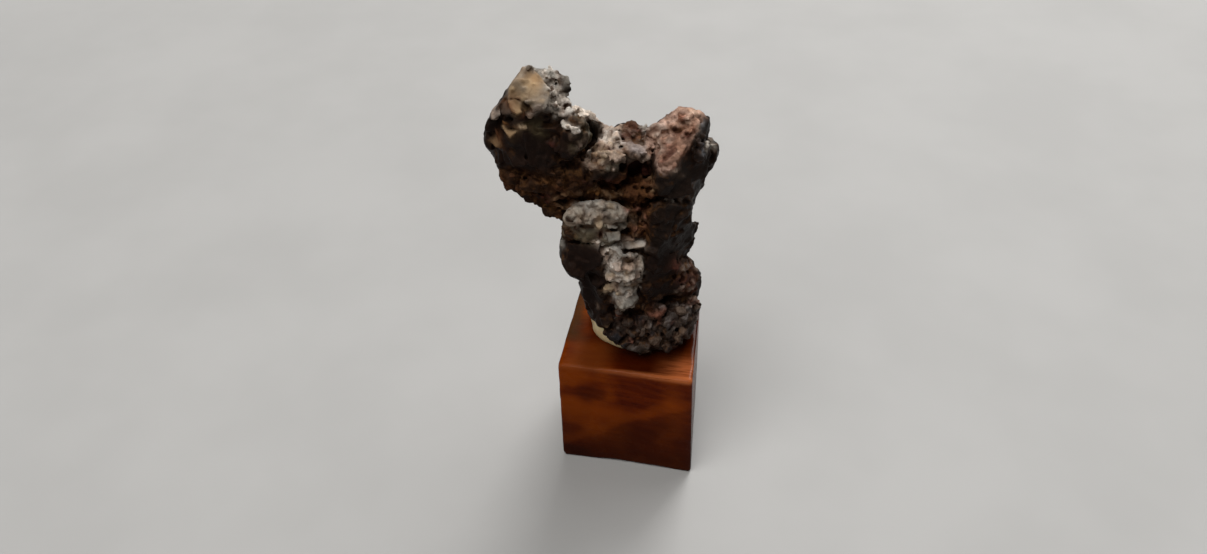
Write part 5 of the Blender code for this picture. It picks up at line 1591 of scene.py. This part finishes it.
def area(name, where, aim, size, power, colour=(1, 1, 1)):
    L = bpy.data.lights.new(name, 'AREA')
    L.shape = 'RECTANGLE'
    L.size, L.size_y = size
    L.energy = power
    L.color = colour
    ob = bpy.data.objects.new(name, L)
    ob.location = where
    ob.rotation_euler = (Vector(aim) - Vector(where)).to_track_quat('-Z', 'Y').to_euler()
    bpy.context.scene.collection.objects.link(ob)
    return ob


area("back_window", (0.24, 1.05, 1.04), (0, 0, 0.05), (0.62, 0.60), 13.0, (1.0, 0.99, 0.97))
area("front_fill", (-0.60, -1.2, 0.8), (0, 0, 0.05), (1.2, 1.0), 1.2, (1.0, 0.97, 0.93))


def sky(name, toward, strength, spread_, colour):
    """Broad even light from one part of the ceiling."""
    L = bpy.data.lights.new(name, 'SUN')
    L.energy = strength
    L.angle = math.radians(spread_)
    L.color = colour
    ob = bpy.data.objects.new(name, L)
    ob.rotation_euler = Vector(toward).to_track_quat('Z', 'Y').to_euler()
    bpy.context.scene.collection.objects.link(ob)


sky("ceiling_front", (-0.25, -0.42, 1.0), 1.7, 40, (1.0, 0.985, 0.96))
sky("ceiling_back", (0.15, 0.50, 1.0), 1.1, 40, (1.0, 0.99, 0.98))

# the studio wall is pale where it is seen, and gives only a little light
world = bpy.data.worlds.new("studio")
bpy.context.scene.world = world
world.use_nodes = True
wt = world.node_tree
glow = wt.nodes["Background"]
glow.inputs[0].default_value = (0.92, 0.89, 0.86, 1)
glow.inputs[1].default_value = 0.09
wall = wt.nodes.new('ShaderNodeBackground')
wall.inputs[0].default_value = (0.40, 0.396, 0.389, 1)
wall.inputs[1].default_value = 1.0
path = wt.nodes.new('ShaderNodeLightPath')
pick = wt.nodes.new('ShaderNodeMixShader')
wt.links.new(path.outputs['Is Camera Ray'], pick.inputs[0])
wt.links.new(glow.outputs[0], pick.inputs[1])
wt.links.new(wall.outputs[0], pick.inputs[2])
wt.links.new(pick.outputs[0], wt.nodes["World Output"].inputs[0])

# the viewing angle: 39.5 degrees down, turned 11.25 degrees round the block
CAM_POS = (0.02365, -0.14754, 0.16175)
PITCH, YAW, ROLL = math.radians(39.5), math.radians(11.245), math.radians(-1.66)
cam_data = bpy.data.cameras.new("camera")
cam_data.sensor_width = 36.0
cam_data.sensor_fit = 'HORIZONTAL'
cam_data.lens = 36.0 * 1050.0 / 1207.0
cam_data.clip_start = 0.01
cam_data.clip_end = 20.0
cam = bpy.data.objects.new("camera", cam_data)
bpy.context.scene.collection.objects.link(cam)
fwd = Vector((0, math.cos(PITCH), -math.sin(PITCH)))
right = Vector((1, 0, 0))
up = right.cross(fwd)
r2 = right * math.cos(ROLL) + up * math.sin(ROLL)
u2 = -right * math.sin(ROLL) + up * math.cos(ROLL)
basis = Matrix((r2, u2, -fwd)).transposed()
basis = Matrix.Rotation(YAW, 3, 'Z') @ basis
cam.matrix_world = Matrix.Translation(CAM_POS) @ basis.to_4x4()
bpy.context.scene.camera = cam
bpy.context.scene.view_settings.view_transform = 'Standard'

bpy.context.view_layer.update()
